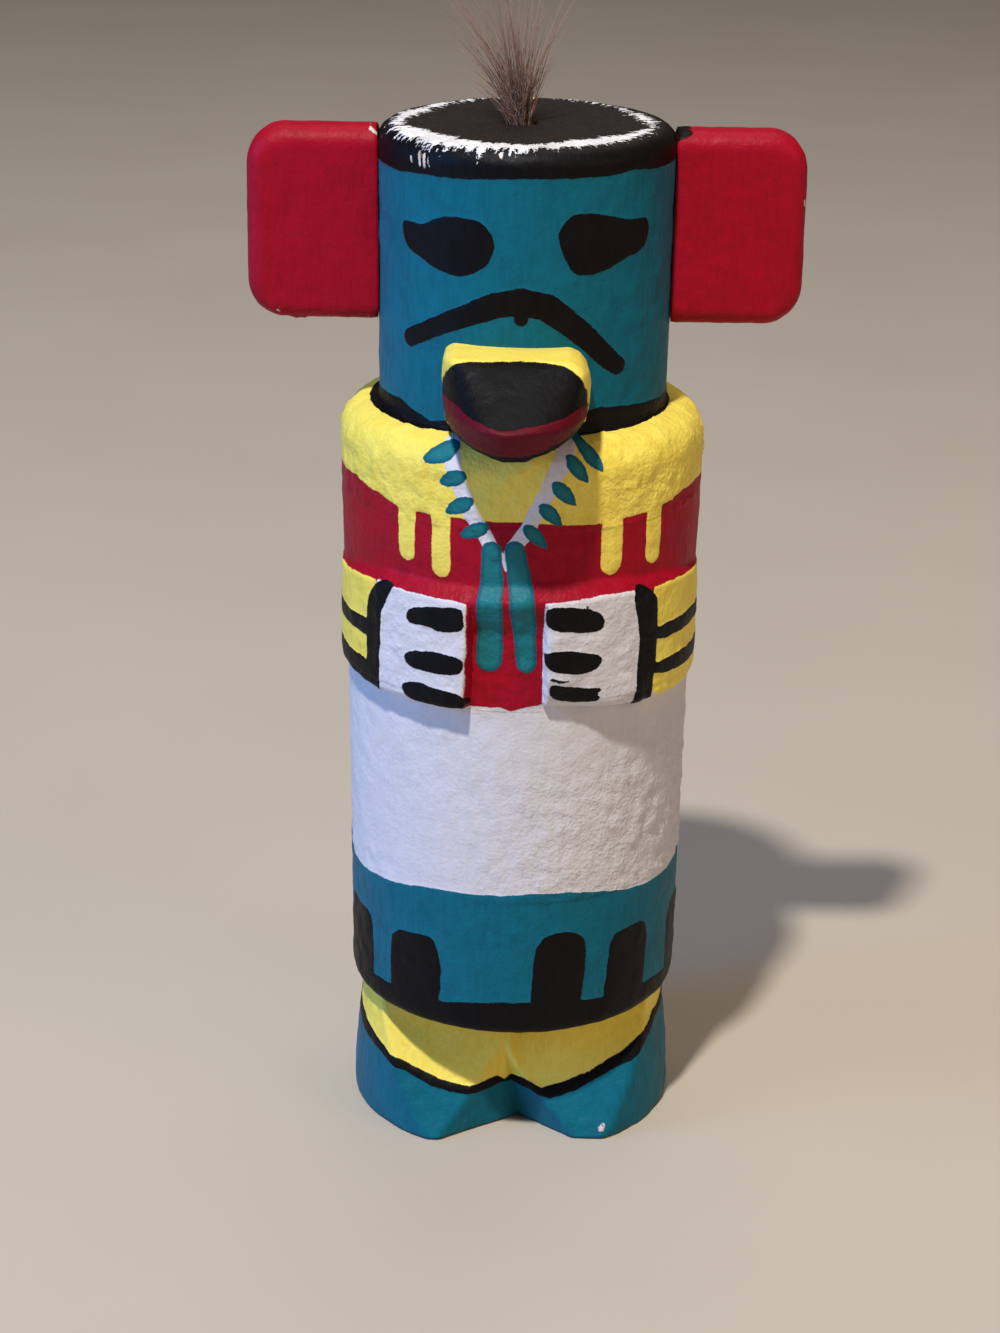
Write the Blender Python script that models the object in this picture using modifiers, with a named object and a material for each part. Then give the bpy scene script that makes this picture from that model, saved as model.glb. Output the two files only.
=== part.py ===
"""A small carved and painted wooden doll.

One turned and cut piece makes the head, body, arms, kilt and feet. Two ear slabs and a snout are
glued to the head, and a tuft of hair stands in a socket in the crown. Metres, +Z up, with the
origin in the middle of the underside. The doll faces -Y.
"""

import math

import bmesh
import bpy
from mathutils import Matrix, Vector

# Overall sizes
FIGURE_HEIGHT = 0.180
BODY_RADIUS = 0.0311

# Carving marks up the front, as shares of the figure's height
HEM_MARK = 0.1333
ARMS_FOOT_MARK = 0.4806
ARMS_HEAD_MARK = 0.5933
SHOULDER_MARK = 0.7372

# Turned body
SHOULDER_LEDGE = 0.0065
SHOULDER_ROUNDING = 0.0053
HEAD_FLARE = 0.0004
RIM_ROUNDING = 0.0029
WAIST_DRAW = 0.0009
HEM_DRAW = 0.0018
HEM_ROUNDING = 0.0021

# Arms in relief
ARM_SIDE_RELIEF = 0.0004
ARM_FORWARD = 0.0018
ARM_COVE_HEIGHT = 0.0036
ARM_COVE_DEPTH = 0.0029
ARM_ROUNDING = 0.0020
HAND_GAP_WIDTH = 0.0125
HAND_GAP_X = -0.0018

# Legs and feet
FOOT_DRAW = 0.0021
ANKLE_DRAW = 0.0041
INSTEP_SLOPE = 0.505
LEFT_TOE_TRIM = 0.0052
RIGHT_TOE_TRIM = 0.0040
NOTCH_DEPTH = 0.0101
NOTCH_WIDTH = 0.0251
NOTCH_X = 0.0015
NOTCH_TOE_MIDDLE = -0.0023
NOTCH_LEAN_SIDE = math.radians(-10.5)
NOTCH_LEAN_FORWARD = math.radians(7.6)

# Ear slabs
EAR_REACH = 0.0219
EAR_HEIGHT = 0.0326
EAR_THICKNESS = 0.0090
EAR_CORNER = 0.0065
EAR_EDGE = 0.0030
EAR_TOP_DROP = 0.0005
EAR_FOOT_DRAW = 0.0005

# Snout, a wedge glued to the face with its tip forward
SNOUT_WIDTH = 0.0242
SNOUT_HEIGHT = 0.0145
SNOUT_REACH = 0.0206
SNOUT_X = -0.0013
SNOUT_LIFT = 0.0008
SNOUT_BROW_REACH = 0.0092
SNOUT_TIP_RISE = 0.0062
SNOUT_CHIN_REACH = 0.0160
SNOUT_TOP_CORNER = 0.0032
SNOUT_FOOT_CORNER = 0.0016
SNOUT_TIP_SHIFT = -0.0018

# Hair tuft and its socket
SOCKET_RADIUS = 0.0026
SOCKET_DEPTH = 0.0050
TUFT_X = -0.0010
TUFT_LENGTH = 0.0255
TUFT_SPREAD = 0.0090

# Room that glued and seated pieces keep to each other
FIT_GAP = 0.0003

# How finely round pieces are divided
BODY_STEPS = 64
TUFT_STEPS = 20
ARC_STEPS = 4
CUT_MARGIN = 0.010

# Heights and radii that follow from the sizes above
HEM_Z = HEM_MARK * FIGURE_HEIGHT
ARMS_FOOT_Z = ARMS_FOOT_MARK * FIGURE_HEIGHT
ARMS_HEAD_Z = ARMS_HEAD_MARK * FIGURE_HEIGHT
SHOULDER_Z = SHOULDER_MARK * FIGURE_HEIGHT
CHEST_Z = ARMS_HEAD_Z + 2 * ARM_COVE_HEIGHT
NECK_RADIUS = BODY_RADIUS - SHOULDER_LEDGE
CROWN_RADIUS = NECK_RADIUS + HEAD_FLARE
WAIST_RADIUS = BODY_RADIUS - WAIST_DRAW
HEM_RADIUS = BODY_RADIUS - HEM_DRAW
ANKLE_RADIUS = BODY_RADIUS - ANKLE_DRAW
FOOT_RADIUS = BODY_RADIUS - FOOT_DRAW
ARM_RADIUS = BODY_RADIUS + ARM_SIDE_RELIEF


def clear_scene():
    """Take every object out of the scene."""
    for obj in list(bpy.data.objects):
        bpy.data.objects.remove(obj, do_unlink=True)


def new_collection(name):
    """A collection of this name, linked to the scene."""
    collection = bpy.data.collections.new(name)
    bpy.context.scene.collection.children.link(collection)
    return collection


def paint(name, colour, roughness):
    """A plain material of this colour."""
    material = bpy.data.materials.new(name)
    material.use_nodes = True
    shader = material.node_tree.nodes["Principled BSDF"]
    shader.inputs["Base Color"].default_value = (*colour, 1.0)
    shader.inputs["Roughness"].default_value = roughness
    shader.inputs["Metallic"].default_value = 0.0
    material.diffuse_color = (*colour, 1.0)
    return material


def object_from(name, bm, collection, material=None):
    """An object that holds this bmesh, in this collection."""
    mesh = bpy.data.meshes.new(name)
    bm.to_mesh(mesh)
    bm.free()
    obj = bpy.data.objects.new(name, mesh)
    collection.objects.link(obj)
    if material:
        mesh.materials.append(material)
    return obj


def as_helper(obj):
    """Show a cutter or a joined shape as wire only, and leave it out of renders."""
    obj.hide_render = True
    obj.display_type = "WIRE"
    return obj


def arc(centre, radius, start, end, steps=ARC_STEPS):
    """Points along an arc, from the start angle to the end angle in degrees."""
    points = []
    for step in range(steps + 1):
        angle = math.radians(start + (end - start) * step / steps)
        x = centre[0] + radius * math.cos(angle)
        z = centre[1] + radius * math.sin(angle)
        points.append((x, z))
    return points


def turned(name, profile, collection, material=None, steps=BODY_STEPS):
    """A turned solid. The profile's (radius, height) points run from the top down to the foot."""
    bm = bmesh.new()
    last = None
    for radius, height in profile:
        point = bm.verts.new((radius, 0.0, height))
        if last:
            bm.edges.new((last, point))
        last = point
    obj = object_from(name, bm, collection, material)
    screw = obj.modifiers.new("Turn", "SCREW")
    screw.axis = "Z"
    screw.angle = math.tau
    screw.steps = steps
    screw.render_steps = steps
    screw.use_merge_vertices = True
    screw.merge_threshold = 0.00001
    screw.use_smooth_shade = True
    return obj


def block(name, size, centre, collection, turn_x=0.0):
    """A box of this size, turned about the X direction through its centre."""
    bm = bmesh.new()
    bmesh.ops.create_cube(bm, size=1.0)
    bmesh.ops.scale(bm, vec=size, verts=bm.verts)
    obj = object_from(name, bm, collection)
    obj.location = centre
    obj.rotation_euler = (turn_x, 0.0, 0.0)
    return obj


def rounded_outline(corners):
    """A closed outline through (x, y, rounding) corners that run anticlockwise."""
    points = []
    for index, (x, y, rounding) in enumerate(corners):
        here = Vector((x, y))
        before = Vector(corners[index - 1][:2])
        after = Vector(corners[(index + 1) % len(corners)][:2])
        to_before = (before - here).normalized()
        to_after = (after - here).normalized()
        half_angle = to_before.angle(to_after) / 2
        middle = (to_before + to_after).normalized()
        centre = here + middle * (rounding / math.sin(half_angle))
        first = here + to_before * (rounding / math.tan(half_angle)) - centre
        turn = math.pi - 2 * half_angle
        for step in range(ARC_STEPS + 1):
            spoke = Matrix.Rotation(turn * step / ARC_STEPS, 2) @ first
            points.append(tuple(centre + spoke))
    return points


def slab(name, outline, thickness, placed, collection, material=None):
    """A flat outline made this thick and placed by a matrix, as one welded mesh."""
    curve = bpy.data.curves.new(name + "_outline", "CURVE")
    curve.dimensions = "2D"
    curve.fill_mode = "BOTH"
    curve.extrude = thickness / 2
    spline = curve.splines.new("POLY")
    spline.points.add(len(outline) - 1)
    for point, (x, y) in zip(spline.points, outline):
        point.co = (x, y, 0.0, 1.0)
    spline.use_cyclic_u = True
    drawn = bpy.data.objects.new(name + "_outline", curve)
    collection.objects.link(drawn)
    drawn.matrix_world = placed
    graph = bpy.context.evaluated_depsgraph_get()
    mesh = bpy.data.meshes.new_from_object(drawn.evaluated_get(graph))
    bm = bmesh.new()
    bm.from_mesh(mesh)
    bpy.data.meshes.remove(mesh)
    bmesh.ops.remove_doubles(bm, verts=bm.verts, dist=0.000001)
    bmesh.ops.recalc_face_normals(bm, faces=bm.faces)
    bpy.data.objects.remove(drawn, do_unlink=True)
    obj = object_from(name, bm, collection, material)
    obj.matrix_world = placed
    return obj


def round_edges(obj, width, segments=3):
    """Round the slab's outline edges, front and back."""
    bevel = obj.modifiers.new("Rounded edges", "BEVEL")
    bevel.width = width
    bevel.segments = segments
    bevel.limit_method = "ANGLE"
    bevel.angle_limit = math.radians(60)
    obj.data.shade_smooth()


def boolean(obj, operation, other):
    """Join or cut with another object."""
    modifier = obj.modifiers.new(other.name, "BOOLEAN")
    modifier.operation = operation
    modifier.solver = "EXACT"
    modifier.object = other


def head_and_shoulders(gap=0.0):
    """The profile from the crown's edge down over the shoulders, with room around it."""
    shoulder_centre = (BODY_RADIUS - SHOULDER_ROUNDING, SHOULDER_Z - SHOULDER_ROUNDING)
    points = [(NECK_RADIUS + gap, SHOULDER_Z + gap)]
    points += arc(shoulder_centre, SHOULDER_ROUNDING + gap, 90, 0)
    return points


def body_profile():
    """The turned profile of head, shoulders, waist and kilt, from crown to hem."""
    rim_centre = (CROWN_RADIUS - RIM_ROUNDING, FIGURE_HEIGHT - RIM_ROUNDING)
    hem_centre = (HEM_RADIUS - HEM_ROUNDING, HEM_Z + HEM_ROUNDING)
    points = [(0.0, FIGURE_HEIGHT)]
    points += arc(rim_centre, RIM_ROUNDING, 90, 0)
    points += head_and_shoulders()
    points.append((BODY_RADIUS, CHEST_Z))
    points.append((WAIST_RADIUS, ARMS_FOOT_Z))
    points += arc(hem_centre, HEM_ROUNDING, 0, -90)
    points.append((0.0, HEM_Z))
    return points


def leg_profile():
    """The turned profile of the legs, flaring in a soft curve from under the kilt to the feet."""
    points = [(0.0, HEM_Z + CUT_MARGIN), (ANKLE_RADIUS, HEM_Z + CUT_MARGIN)]
    for step in range(ARC_STEPS + 1):
        down = step / ARC_STEPS
        radius = ANKLE_RADIUS + (FOOT_RADIUS - ANKLE_RADIUS) * math.sin(down * math.pi / 2)
        points.append((radius, HEM_Z * (1 - down)))
    points.append((0.0, 0.0))
    return points


def arm_profile():
    """The turned profile of the arms, with a sloping cove above and a rounded lower edge."""
    top = ARMS_HEAD_Z + ARM_COVE_HEIGHT
    cove = ARM_RADIUS - ARM_COVE_DEPTH
    foot_centre = (ARM_RADIUS - ARM_ROUNDING, ARMS_FOOT_Z + ARM_ROUNDING)
    points = [(0.0, top), (cove, top), (ARM_RADIUS, ARMS_HEAD_Z)]
    points += arc(foot_centre, ARM_ROUNDING, 0, -90)
    points.append((0.0, ARMS_FOOT_Z))
    return points


def seat_cutter(cutters):
    """The head and shoulders with the fit gap around them, which the glued pieces are cut to."""
    above = FIGURE_HEIGHT + CUT_MARGIN
    radius = CROWN_RADIUS + FIT_GAP
    profile = [(0.0, above), (radius, above), (radius, FIGURE_HEIGHT)]
    profile += head_and_shoulders(FIT_GAP)
    profile += [(BODY_RADIUS + FIT_GAP, ARMS_HEAD_Z), (0.0, ARMS_HEAD_Z)]
    return as_helper(turned("seat_cutter", profile, cutters))


def instep_cutter(name, side, toe_trim, cutters):
    """A block that cuts one foot's front to a slope, from the toe back up to the kilt."""
    width = 2 * BODY_RADIUS
    depth = 2 * BODY_RADIUS
    height = 2 * FIGURE_HEIGHT
    lean = math.atan(INSTEP_SLOPE)
    toe = Vector((0.0, toe_trim - FOOT_RADIUS, 0.0))
    outward = Vector((0.0, -math.cos(lean), math.sin(lean)))
    centre = toe + outward * (depth / 2)
    centre.x = NOTCH_X + side * width / 2
    return as_helper(block(name, (width, depth, height), centre, cutters, turn_x=-lean))


def notch_cutter(cutters):
    """A leaning wedge that parts the feet, with its edge inside the figure."""
    outward = 2.0
    toe_left = Vector((NOTCH_TOE_MIDDLE - NOTCH_WIDTH / 2, -NOTCH_DEPTH)) * outward
    toe_right = Vector((NOTCH_TOE_MIDDLE + NOTCH_WIDTH / 2, -NOTCH_DEPTH)) * outward
    outline = [(0.0, 0.0), tuple(toe_left), tuple(toe_right)]
    apex = Vector((NOTCH_X, NOTCH_DEPTH + RIGHT_TOE_TRIM - FOOT_RADIUS, 0.0))
    lean = Matrix.Rotation(NOTCH_LEAN_SIDE, 4, "Y") @ Matrix.Rotation(NOTCH_LEAN_FORWARD, 4, "X")
    placed = Matrix.Translation(apex) @ lean
    return as_helper(slab("notch_cutter", outline, 4 * HEM_Z, placed, cutters))


def make_legs(cutters):
    """The legs and feet, to be joined to the figure: turned, cut to two insteps and notched."""
    legs = as_helper(turned("legs", leg_profile(), cutters))
    boolean(legs, "DIFFERENCE", instep_cutter("instep_cutter_left", 1, LEFT_TOE_TRIM, cutters))
    boolean(legs, "DIFFERENCE", instep_cutter("instep_cutter_right", -1, RIGHT_TOE_TRIM, cutters))
    boolean(legs, "DIFFERENCE", notch_cutter(cutters))
    return legs


def make_arms(cutters):
    """The relief of both arms, to be joined to the figure, with the gap between the hands."""
    arms = as_helper(turned("arms", arm_profile(), cutters))
    arms.location.y = -ARM_FORWARD
    height = ARMS_HEAD_Z - ARMS_FOOT_Z + 2 * CUT_MARGIN
    depth = 2 * ARM_RADIUS
    middle_z = (ARMS_HEAD_Z + ARMS_FOOT_Z) / 2
    centre = (HAND_GAP_X, -ARM_FORWARD - depth / 2, middle_z)
    gap = block("hand_gap_cutter", (HAND_GAP_WIDTH, depth, height), centre, cutters)
    boolean(arms, "DIFFERENCE", as_helper(gap))
    return arms


def make_figure(parts, cutters):
    """The one carved piece: head, body, arms, kilt and feet, with the tuft's socket."""
    finish = paint("painted_wood", (0.03, 0.20, 0.22), 0.55)
    figure = turned("carved_figure", body_profile(), parts, finish)
    boolean(figure, "UNION", make_legs(cutters))
    boolean(figure, "UNION", make_arms(cutters))
    floor = FIGURE_HEIGHT - SOCKET_DEPTH
    above = FIGURE_HEIGHT + CUT_MARGIN
    hole = [(0.0, above), (SOCKET_RADIUS, above), (SOCKET_RADIUS, floor), (0.0, floor)]
    socket = as_helper(turned("socket_cutter", hole, cutters, steps=TUFT_STEPS))
    socket.location.x = TUFT_X
    boolean(figure, "DIFFERENCE", socket)
    return figure


def make_ear(name, side, seat, parts):
    """One rounded slab, flat to the front, fitted to the side of the head."""
    finish = paint("red_paint_" + name, (0.40, 0.006, 0.018), 0.5)
    inner = CROWN_RADIUS - EAR_THICKNESS / 2
    outer = CROWN_RADIUS + EAR_REACH
    top = FIGURE_HEIGHT - EAR_TOP_DROP
    foot = top - EAR_HEIGHT
    corners = [
        (inner, foot, 0.0),
        (outer - EAR_FOOT_DRAW, foot, EAR_CORNER),
        (outer, top, EAR_CORNER),
        (inner, top, 0.0),
    ]
    outline = rounded_outline(corners)
    if side < 0:
        outline = [(-x, z) for x, z in reversed(outline)]
    upright = Matrix.Rotation(math.pi / 2, 4, "X")
    ear = slab(name, outline, EAR_THICKNESS, upright, parts, finish)
    round_edges(ear, EAR_EDGE)
    boolean(ear, "DIFFERENCE", seat)
    return ear


def snout_from_front(half, foot, top, depth, cutters):
    """A block with the snout's outline seen from the front, its corners rounded."""
    corners = [
        (-half, foot, SNOUT_FOOT_CORNER),
        (half, foot, SNOUT_FOOT_CORNER),
        (half, top, SNOUT_TOP_CORNER),
        (-half, top, SNOUT_TOP_CORNER),
    ]
    upright = Matrix.Rotation(math.pi / 2, 4, "X")
    placed = Matrix.Translation((SNOUT_X, -depth / 2, 0.0)) @ upright
    return as_helper(slab("snout_from_front", rounded_outline(corners), depth, placed, cutters))


def snout_from_above(half, back, tip, middle_z, cutters):
    """A block with the snout's outline seen from above, round like a ship's bow."""
    run = tip - CROWN_RADIUS
    corners = [
        (-half, -back, 0.0),
        (-half, -CROWN_RADIUS - 0.05 * run, 0.30 * run),
        (-0.60 * half, -CROWN_RADIUS - 0.76 * run, 0.40 * run),
        (SNOUT_TIP_SHIFT, -tip, 0.15 * run),
        (0.46 * half, -CROWN_RADIUS - 0.74 * run, 0.40 * run),
        (half, -CROWN_RADIUS, 0.30 * run),
        (half, -back, 0.0),
    ]
    placed = Matrix.Translation((SNOUT_X, 0.0, middle_z))
    return as_helper(slab("snout_from_above", rounded_outline(corners), 2 * SNOUT_HEIGHT, placed, cutters))


def make_snout(seat, parts, cutters):
    """The snout: a wedge with a flat top, a long slope down to the tip, and a lip cut under."""
    finish = paint("black_paint", (0.012, 0.010, 0.012), 0.5)
    foot = SHOULDER_Z + SNOUT_LIFT
    top = foot + SNOUT_HEIGHT
    back = NECK_RADIUS - SNOUT_WIDTH / 3
    tip = CROWN_RADIUS + SNOUT_REACH
    side = [
        (back, foot, 0.0),
        (CROWN_RADIUS + SNOUT_CHIN_REACH, foot, 0.0010),
        (tip, foot + SNOUT_TIP_RISE, 0.0010),
        (CROWN_RADIUS + SNOUT_BROW_REACH, top, 0.0012),
        (back, top, 0.0),
    ]
    sideways = Matrix.Rotation(-math.pi / 2, 4, "Z") @ Matrix.Rotation(math.pi / 2, 4, "X")
    placed = Matrix.Translation((SNOUT_X, 0.0, 0.0)) @ sideways
    snout = slab("snout", rounded_outline(side), 2 * SNOUT_WIDTH, placed, parts, finish)
    snout.data.shade_smooth()
    half = SNOUT_WIDTH / 2
    boolean(snout, "INTERSECT", snout_from_front(half, foot, top, 2 * tip, cutters))
    boolean(snout, "INTERSECT", snout_from_above(half, back, tip, (foot + top) / 2, cutters))
    boolean(snout, "DIFFERENCE", seat)
    return snout


def make_tuft(parts):
    """The hair tuft as one flared shape, its root standing in the socket."""
    finish = paint("brown_hair", (0.16, 0.08, 0.05), 0.8)
    root = SOCKET_RADIUS - FIT_GAP
    root_z = FIGURE_HEIGHT - SOCKET_DEPTH + FIT_GAP
    neck_z = FIGURE_HEIGHT + 0.08 * TUFT_LENGTH
    profile = [
        (0.0, FIGURE_HEIGHT + TUFT_LENGTH),
        (0.55 * TUFT_SPREAD, FIGURE_HEIGHT + 0.97 * TUFT_LENGTH),
        (TUFT_SPREAD, FIGURE_HEIGHT + 0.80 * TUFT_LENGTH),
        (0.70 * TUFT_SPREAD, FIGURE_HEIGHT + 0.45 * TUFT_LENGTH),
        (root + 0.15 * TUFT_SPREAD, FIGURE_HEIGHT + 0.20 * TUFT_LENGTH),
        (root, neck_z),
        (root, root_z),
        (0.0, root_z),
    ]
    tuft = turned("hair_tuft", profile, parts, finish, steps=TUFT_STEPS)
    tuft.location.x = TUFT_X
    return tuft


def main():
    """Build the doll."""
    clear_scene()
    parts = new_collection("carved_doll")
    cutters = new_collection("cutters")
    make_figure(parts, cutters)
    seat = seat_cutter(cutters)
    make_ear("ear_left", 1, seat, parts)
    make_ear("ear_right", -1, seat, parts)
    make_snout(seat, parts, cutters)
    make_tuft(parts)


main()
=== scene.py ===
"""A small carved and hand-painted wooden doll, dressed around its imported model.

Sizes in the classes are millimetres. They become metres when a mesh is made. The doll faces -Y and
stands on the origin. Marks painted round a turned surface are drawn as if it were unrolled: across
is the distance round from the middle of the front, positive towards +X, and height is Z.
"""

import logging
import math
from dataclasses import dataclass
from enum import Enum
from typing import Protocol, Sequence

import bpy
import numpy as np
from mathutils import Matrix, Vector


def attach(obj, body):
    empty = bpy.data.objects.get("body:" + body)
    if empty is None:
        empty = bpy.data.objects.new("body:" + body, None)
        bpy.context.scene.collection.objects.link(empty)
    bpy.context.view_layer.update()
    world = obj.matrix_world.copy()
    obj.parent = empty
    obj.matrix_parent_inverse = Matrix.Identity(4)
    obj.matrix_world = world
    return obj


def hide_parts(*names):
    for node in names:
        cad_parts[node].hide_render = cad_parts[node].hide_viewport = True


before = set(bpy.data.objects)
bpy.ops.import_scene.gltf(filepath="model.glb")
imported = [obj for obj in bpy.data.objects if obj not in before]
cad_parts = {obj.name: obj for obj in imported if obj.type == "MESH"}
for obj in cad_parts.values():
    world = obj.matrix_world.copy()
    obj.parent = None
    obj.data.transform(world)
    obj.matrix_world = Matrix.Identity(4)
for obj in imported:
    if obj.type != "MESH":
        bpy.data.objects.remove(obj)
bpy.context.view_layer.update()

log = logging.getLogger("doll")

MM = 0.001
FAR = 99.0
BODY = "root"

Point = tuple[float, float]
Line = tuple[Point, ...]
Place = tuple[float, float, float]
Colour = tuple[float, float, float, float]
Faces = list[tuple[int, ...]]
Number = float | np.ndarray
Socket = bpy.types.NodeSocket


class Coat(Enum):
    """The coats of paint, in the order in which they were laid."""

    RED = "red_coat"
    YELLOW = "yellow_coat"
    TEAL = "teal_coat"
    WHITE = "white_coat"
    BLACK = "black_coat"
    # The lip's coat is a darker copy of the red paint: painted shade under the snout's chin.
    SHADED_LIP = "lip_coat"
    BEAD = "bead_coat"
    RING = "ring_coat"
    CHIP = "chip_coat"


class Side(Enum):
    """Which side of the doll, as the sign of X."""

    LEFT = 1.0
    RIGHT = -1.0


class Cut(Enum):
    """Which surface of the figure a station lies on."""

    CROWN = 0
    WALL = 1
    UNDER_HEM = 2
    LEG = 3
    SOLE = 4


def paint_colour(red: int, green: int, blue: int) -> Colour:
    """Turn a colour as seen (0 to 255) into the shader's linear values.

    Args:
        red: Red, 0 to 255.
        green: Green, 0 to 255.
        blue: Blue, 0 to 255.

    Returns:
        Linear red, green and blue, with an alpha of one.
    """
    channels = []
    for value in (red, green, blue):
        share = value / 255
        channels.append(share / 12.92 if share <= 0.04045 else ((share + 0.055) / 1.055) ** 2.4)
    return (channels[0], channels[1], channels[2], 1.0)


def smooth(value: Number, low: float, high: float) -> Number:
    """Rise smoothly from 0 at low to 1 at high."""
    share = np.clip((value - low) / (high - low), 0.0, 1.0)
    return share * share * (3 - 2 * share)


def soft_least(first: Number, second: Number, blend: float) -> Number:
    """The smaller of two values, rounded over where they meet."""
    mix = np.clip(0.5 + (second - first) / (2 * blend), 0.0, 1.0)
    return second + (first - second) * mix - blend * mix * (1 - mix)


def along(line: Line, across: Number) -> Number:
    """The height of a drawn line at each place across."""
    return np.interp(across, [point[0] for point in line], [point[1] for point in line])


def straight(value: Number, start: Point, end: Point) -> Number:
    """Where the straight line through two points stands, run on past both."""
    return start[1] + (value - start[0]) * (end[1] - start[1]) / (end[0] - start[0])


def from_segment(
    across: np.ndarray, height: np.ndarray, start: Sequence[float], end: Sequence[float]
) -> tuple[np.ndarray, np.ndarray]:
    """How far points lie from a straight line, and how far along it.

    Args:
        across: Where the points lie across.
        height: How high the points lie.
        start: The line's first point.
        end: The line's last point.

    Returns:
        The distances, and the shares of the line passed.
    """
    run = end[0] - start[0]
    rise = end[1] - start[1]
    reach = run * run + rise * rise
    share = np.clip(((across - start[0]) * run + (height - start[1]) * rise) / reach, 0.0, 1.0)
    gap = np.hypot(across - start[0] - share * run, height - start[1] - share * rise)
    return gap, share


class Shape(Protocol):
    """Anything painted. Its depth is the distance inside its edge, and negative outside."""

    def depth(self, across: np.ndarray, height: np.ndarray) -> np.ndarray:
        """How deep points lie inside the shape."""


@dataclass(frozen=True)
class Stroke:
    """One pull of the brush, through (across, height, width) points."""

    path: tuple[Place, ...]

    def depth(self, across: np.ndarray, height: np.ndarray) -> np.ndarray:
        """How deep points lie inside the stroke.

        Args:
            across: Where the points lie across.
            height: How high the points lie.

        Returns:
            The depths, in millimetres.
        """
        best = np.full(across.shape, -FAR)
        for start, end in zip(self.path, self.path[1:]):
            gap, share = from_segment(across, height, start, end)
            best = np.maximum(best, (start[2] + share * (end[2] - start[2])) / 2 - gap)
        return best


@dataclass(frozen=True)
class Patch:
    """A filled area inside a closed outline, its corners softened a few times."""

    outline: Line
    soften: int = 2

    def drawn(self) -> list[Point]:
        """The outline with its corners cut off in turn.

        Returns:
            The softened outline's points.
        """
        points = list(self.outline)
        for _ in range(self.soften):
            cut = []
            for start, end in zip(points, points[1:] + points[:1]):
                for share in (0.25, 0.75):
                    x = start[0] + share * (end[0] - start[0])
                    y = start[1] + share * (end[1] - start[1])
                    cut.append((x, y))
            points = cut
        return points

    def depth(self, across: np.ndarray, height: np.ndarray) -> np.ndarray:
        """How deep points lie inside the outline.

        Args:
            across: Where the points lie across.
            height: How high the points lie.

        Returns:
            The depths, in millimetres.
        """
        points = self.drawn()
        inside = np.zeros(across.shape, bool)
        near = np.full(across.shape, FAR)
        for start, end in zip(points, points[1:] + points[:1]):
            gap, _ = from_segment(across, height, start, end)
            near = np.minimum(near, gap)
            rise = end[1] - start[1]
            if rise:
                reach = start[0] + (height - start[1]) * (end[0] - start[0]) / rise
                inside ^= ((start[1] > height) != (end[1] > height)) & (across < reach)
        return np.where(inside, near, -near)


@dataclass(frozen=True)
class Belt:
    """Paint between two lines that run round the piece. A line may be left out."""

    foot: Line = ()
    head: Line = ()

    def depth(self, across: np.ndarray, height: np.ndarray) -> np.ndarray:
        """How deep points lie between the lines.

        Args:
            across: Where the points lie across.
            height: How high the points lie.

        Returns:
            The depths, in millimetres.
        """
        best = np.full(across.shape, FAR)
        if self.foot:
            best = np.minimum(best, height - along(self.foot, across))
        if self.head:
            best = np.minimum(best, along(self.head, across) - height)
        return best


@dataclass(frozen=True)
class PaintZone:
    """The shapes painted on one part of the figure, unrolled at that part's radius."""

    radius: float
    coats: dict[Coat, tuple[Shape, ...]]

    def lay(self, depths: dict[Coat, np.ndarray], turn: np.ndarray, height: np.ndarray) -> None:
        """Add this zone's shapes to the coats.

        Args:
            depths: Each coat's depth at every point, which grows here.
            turn: Each point's angle round from the front.
            height: Each point's height.
        """
        across = turn * self.radius
        for coat, shapes in self.coats.items():
            for shape in shapes:
                depths[coat] = np.maximum(depths[coat], shape.depth(across, height))


DRIP_END = 0.96
BLOCK_WAIST = 34.0
BLOCK_FOOT = 26.0
BLOCK_SPREAD = 0.4
# How far along a bead, and how fat it is there.
BEAD_SHAPE = (
    (0.0, 0.16), (0.12, 0.46), (0.30, 0.78), (0.52, 0.94), (0.72, 0.86), (0.88, 0.56),
    (0.95, 0.34),
)


def drip(across: float, top: float, foot: float, width: float) -> Stroke:
    """A straight run of paint hanging down from a coat's edge."""
    return Stroke(((across, top, width), (across, foot + width / 2, width * DRIP_END)))


def block(near: float, far: float, near_top: float, far_top: float) -> Patch:
    """One black block standing on the hem band, between two edges.

    Args:
        near: Its edge towards the front.
        far: Its other edge.
        near_top: How high it stands at the first edge.
        far_top: How high it stands at the other.

    Returns:
        The block.
    """
    waist = ((far + BLOCK_SPREAD, BLOCK_WAIST), (far, BLOCK_FOOT))
    foot = ((near - BLOCK_SPREAD, BLOCK_FOOT), (near - BLOCK_SPREAD, BLOCK_WAIST))
    return Patch(((near, near_top), (far, far_top), *waist, *foot), soften=1)


def bead(tip: Point, middle: Point, inner: Point, width: float) -> Stroke:
    """One bead, painted as a short fat dab that is pointed at its outer end and bent in the middle.

    Args:
        tip: The pointed outer end.
        middle: The place half way.
        inner: The blunt inner end.
        width: The width where the dab is fattest.

    Returns:
        The dab.
    """
    path = []
    for share, fatness in BEAD_SHAPE:
        near = (1 - share) ** 2
        far = share**2
        bend = 2 * share * (1 - share)
        x = near * tip[0] + bend * middle[0] + far * inner[0]
        z = near * tip[1] + bend * middle[1] + far * inner[1]
        path.append((x, z, width * fatness))
    return Stroke(tuple(path))


def patches(soften: int, *outlines: Line) -> tuple[Patch, ...]:
    """Several filled areas whose corners are softened alike."""
    return tuple(Patch(outline, soften) for outline in outlines)


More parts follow.
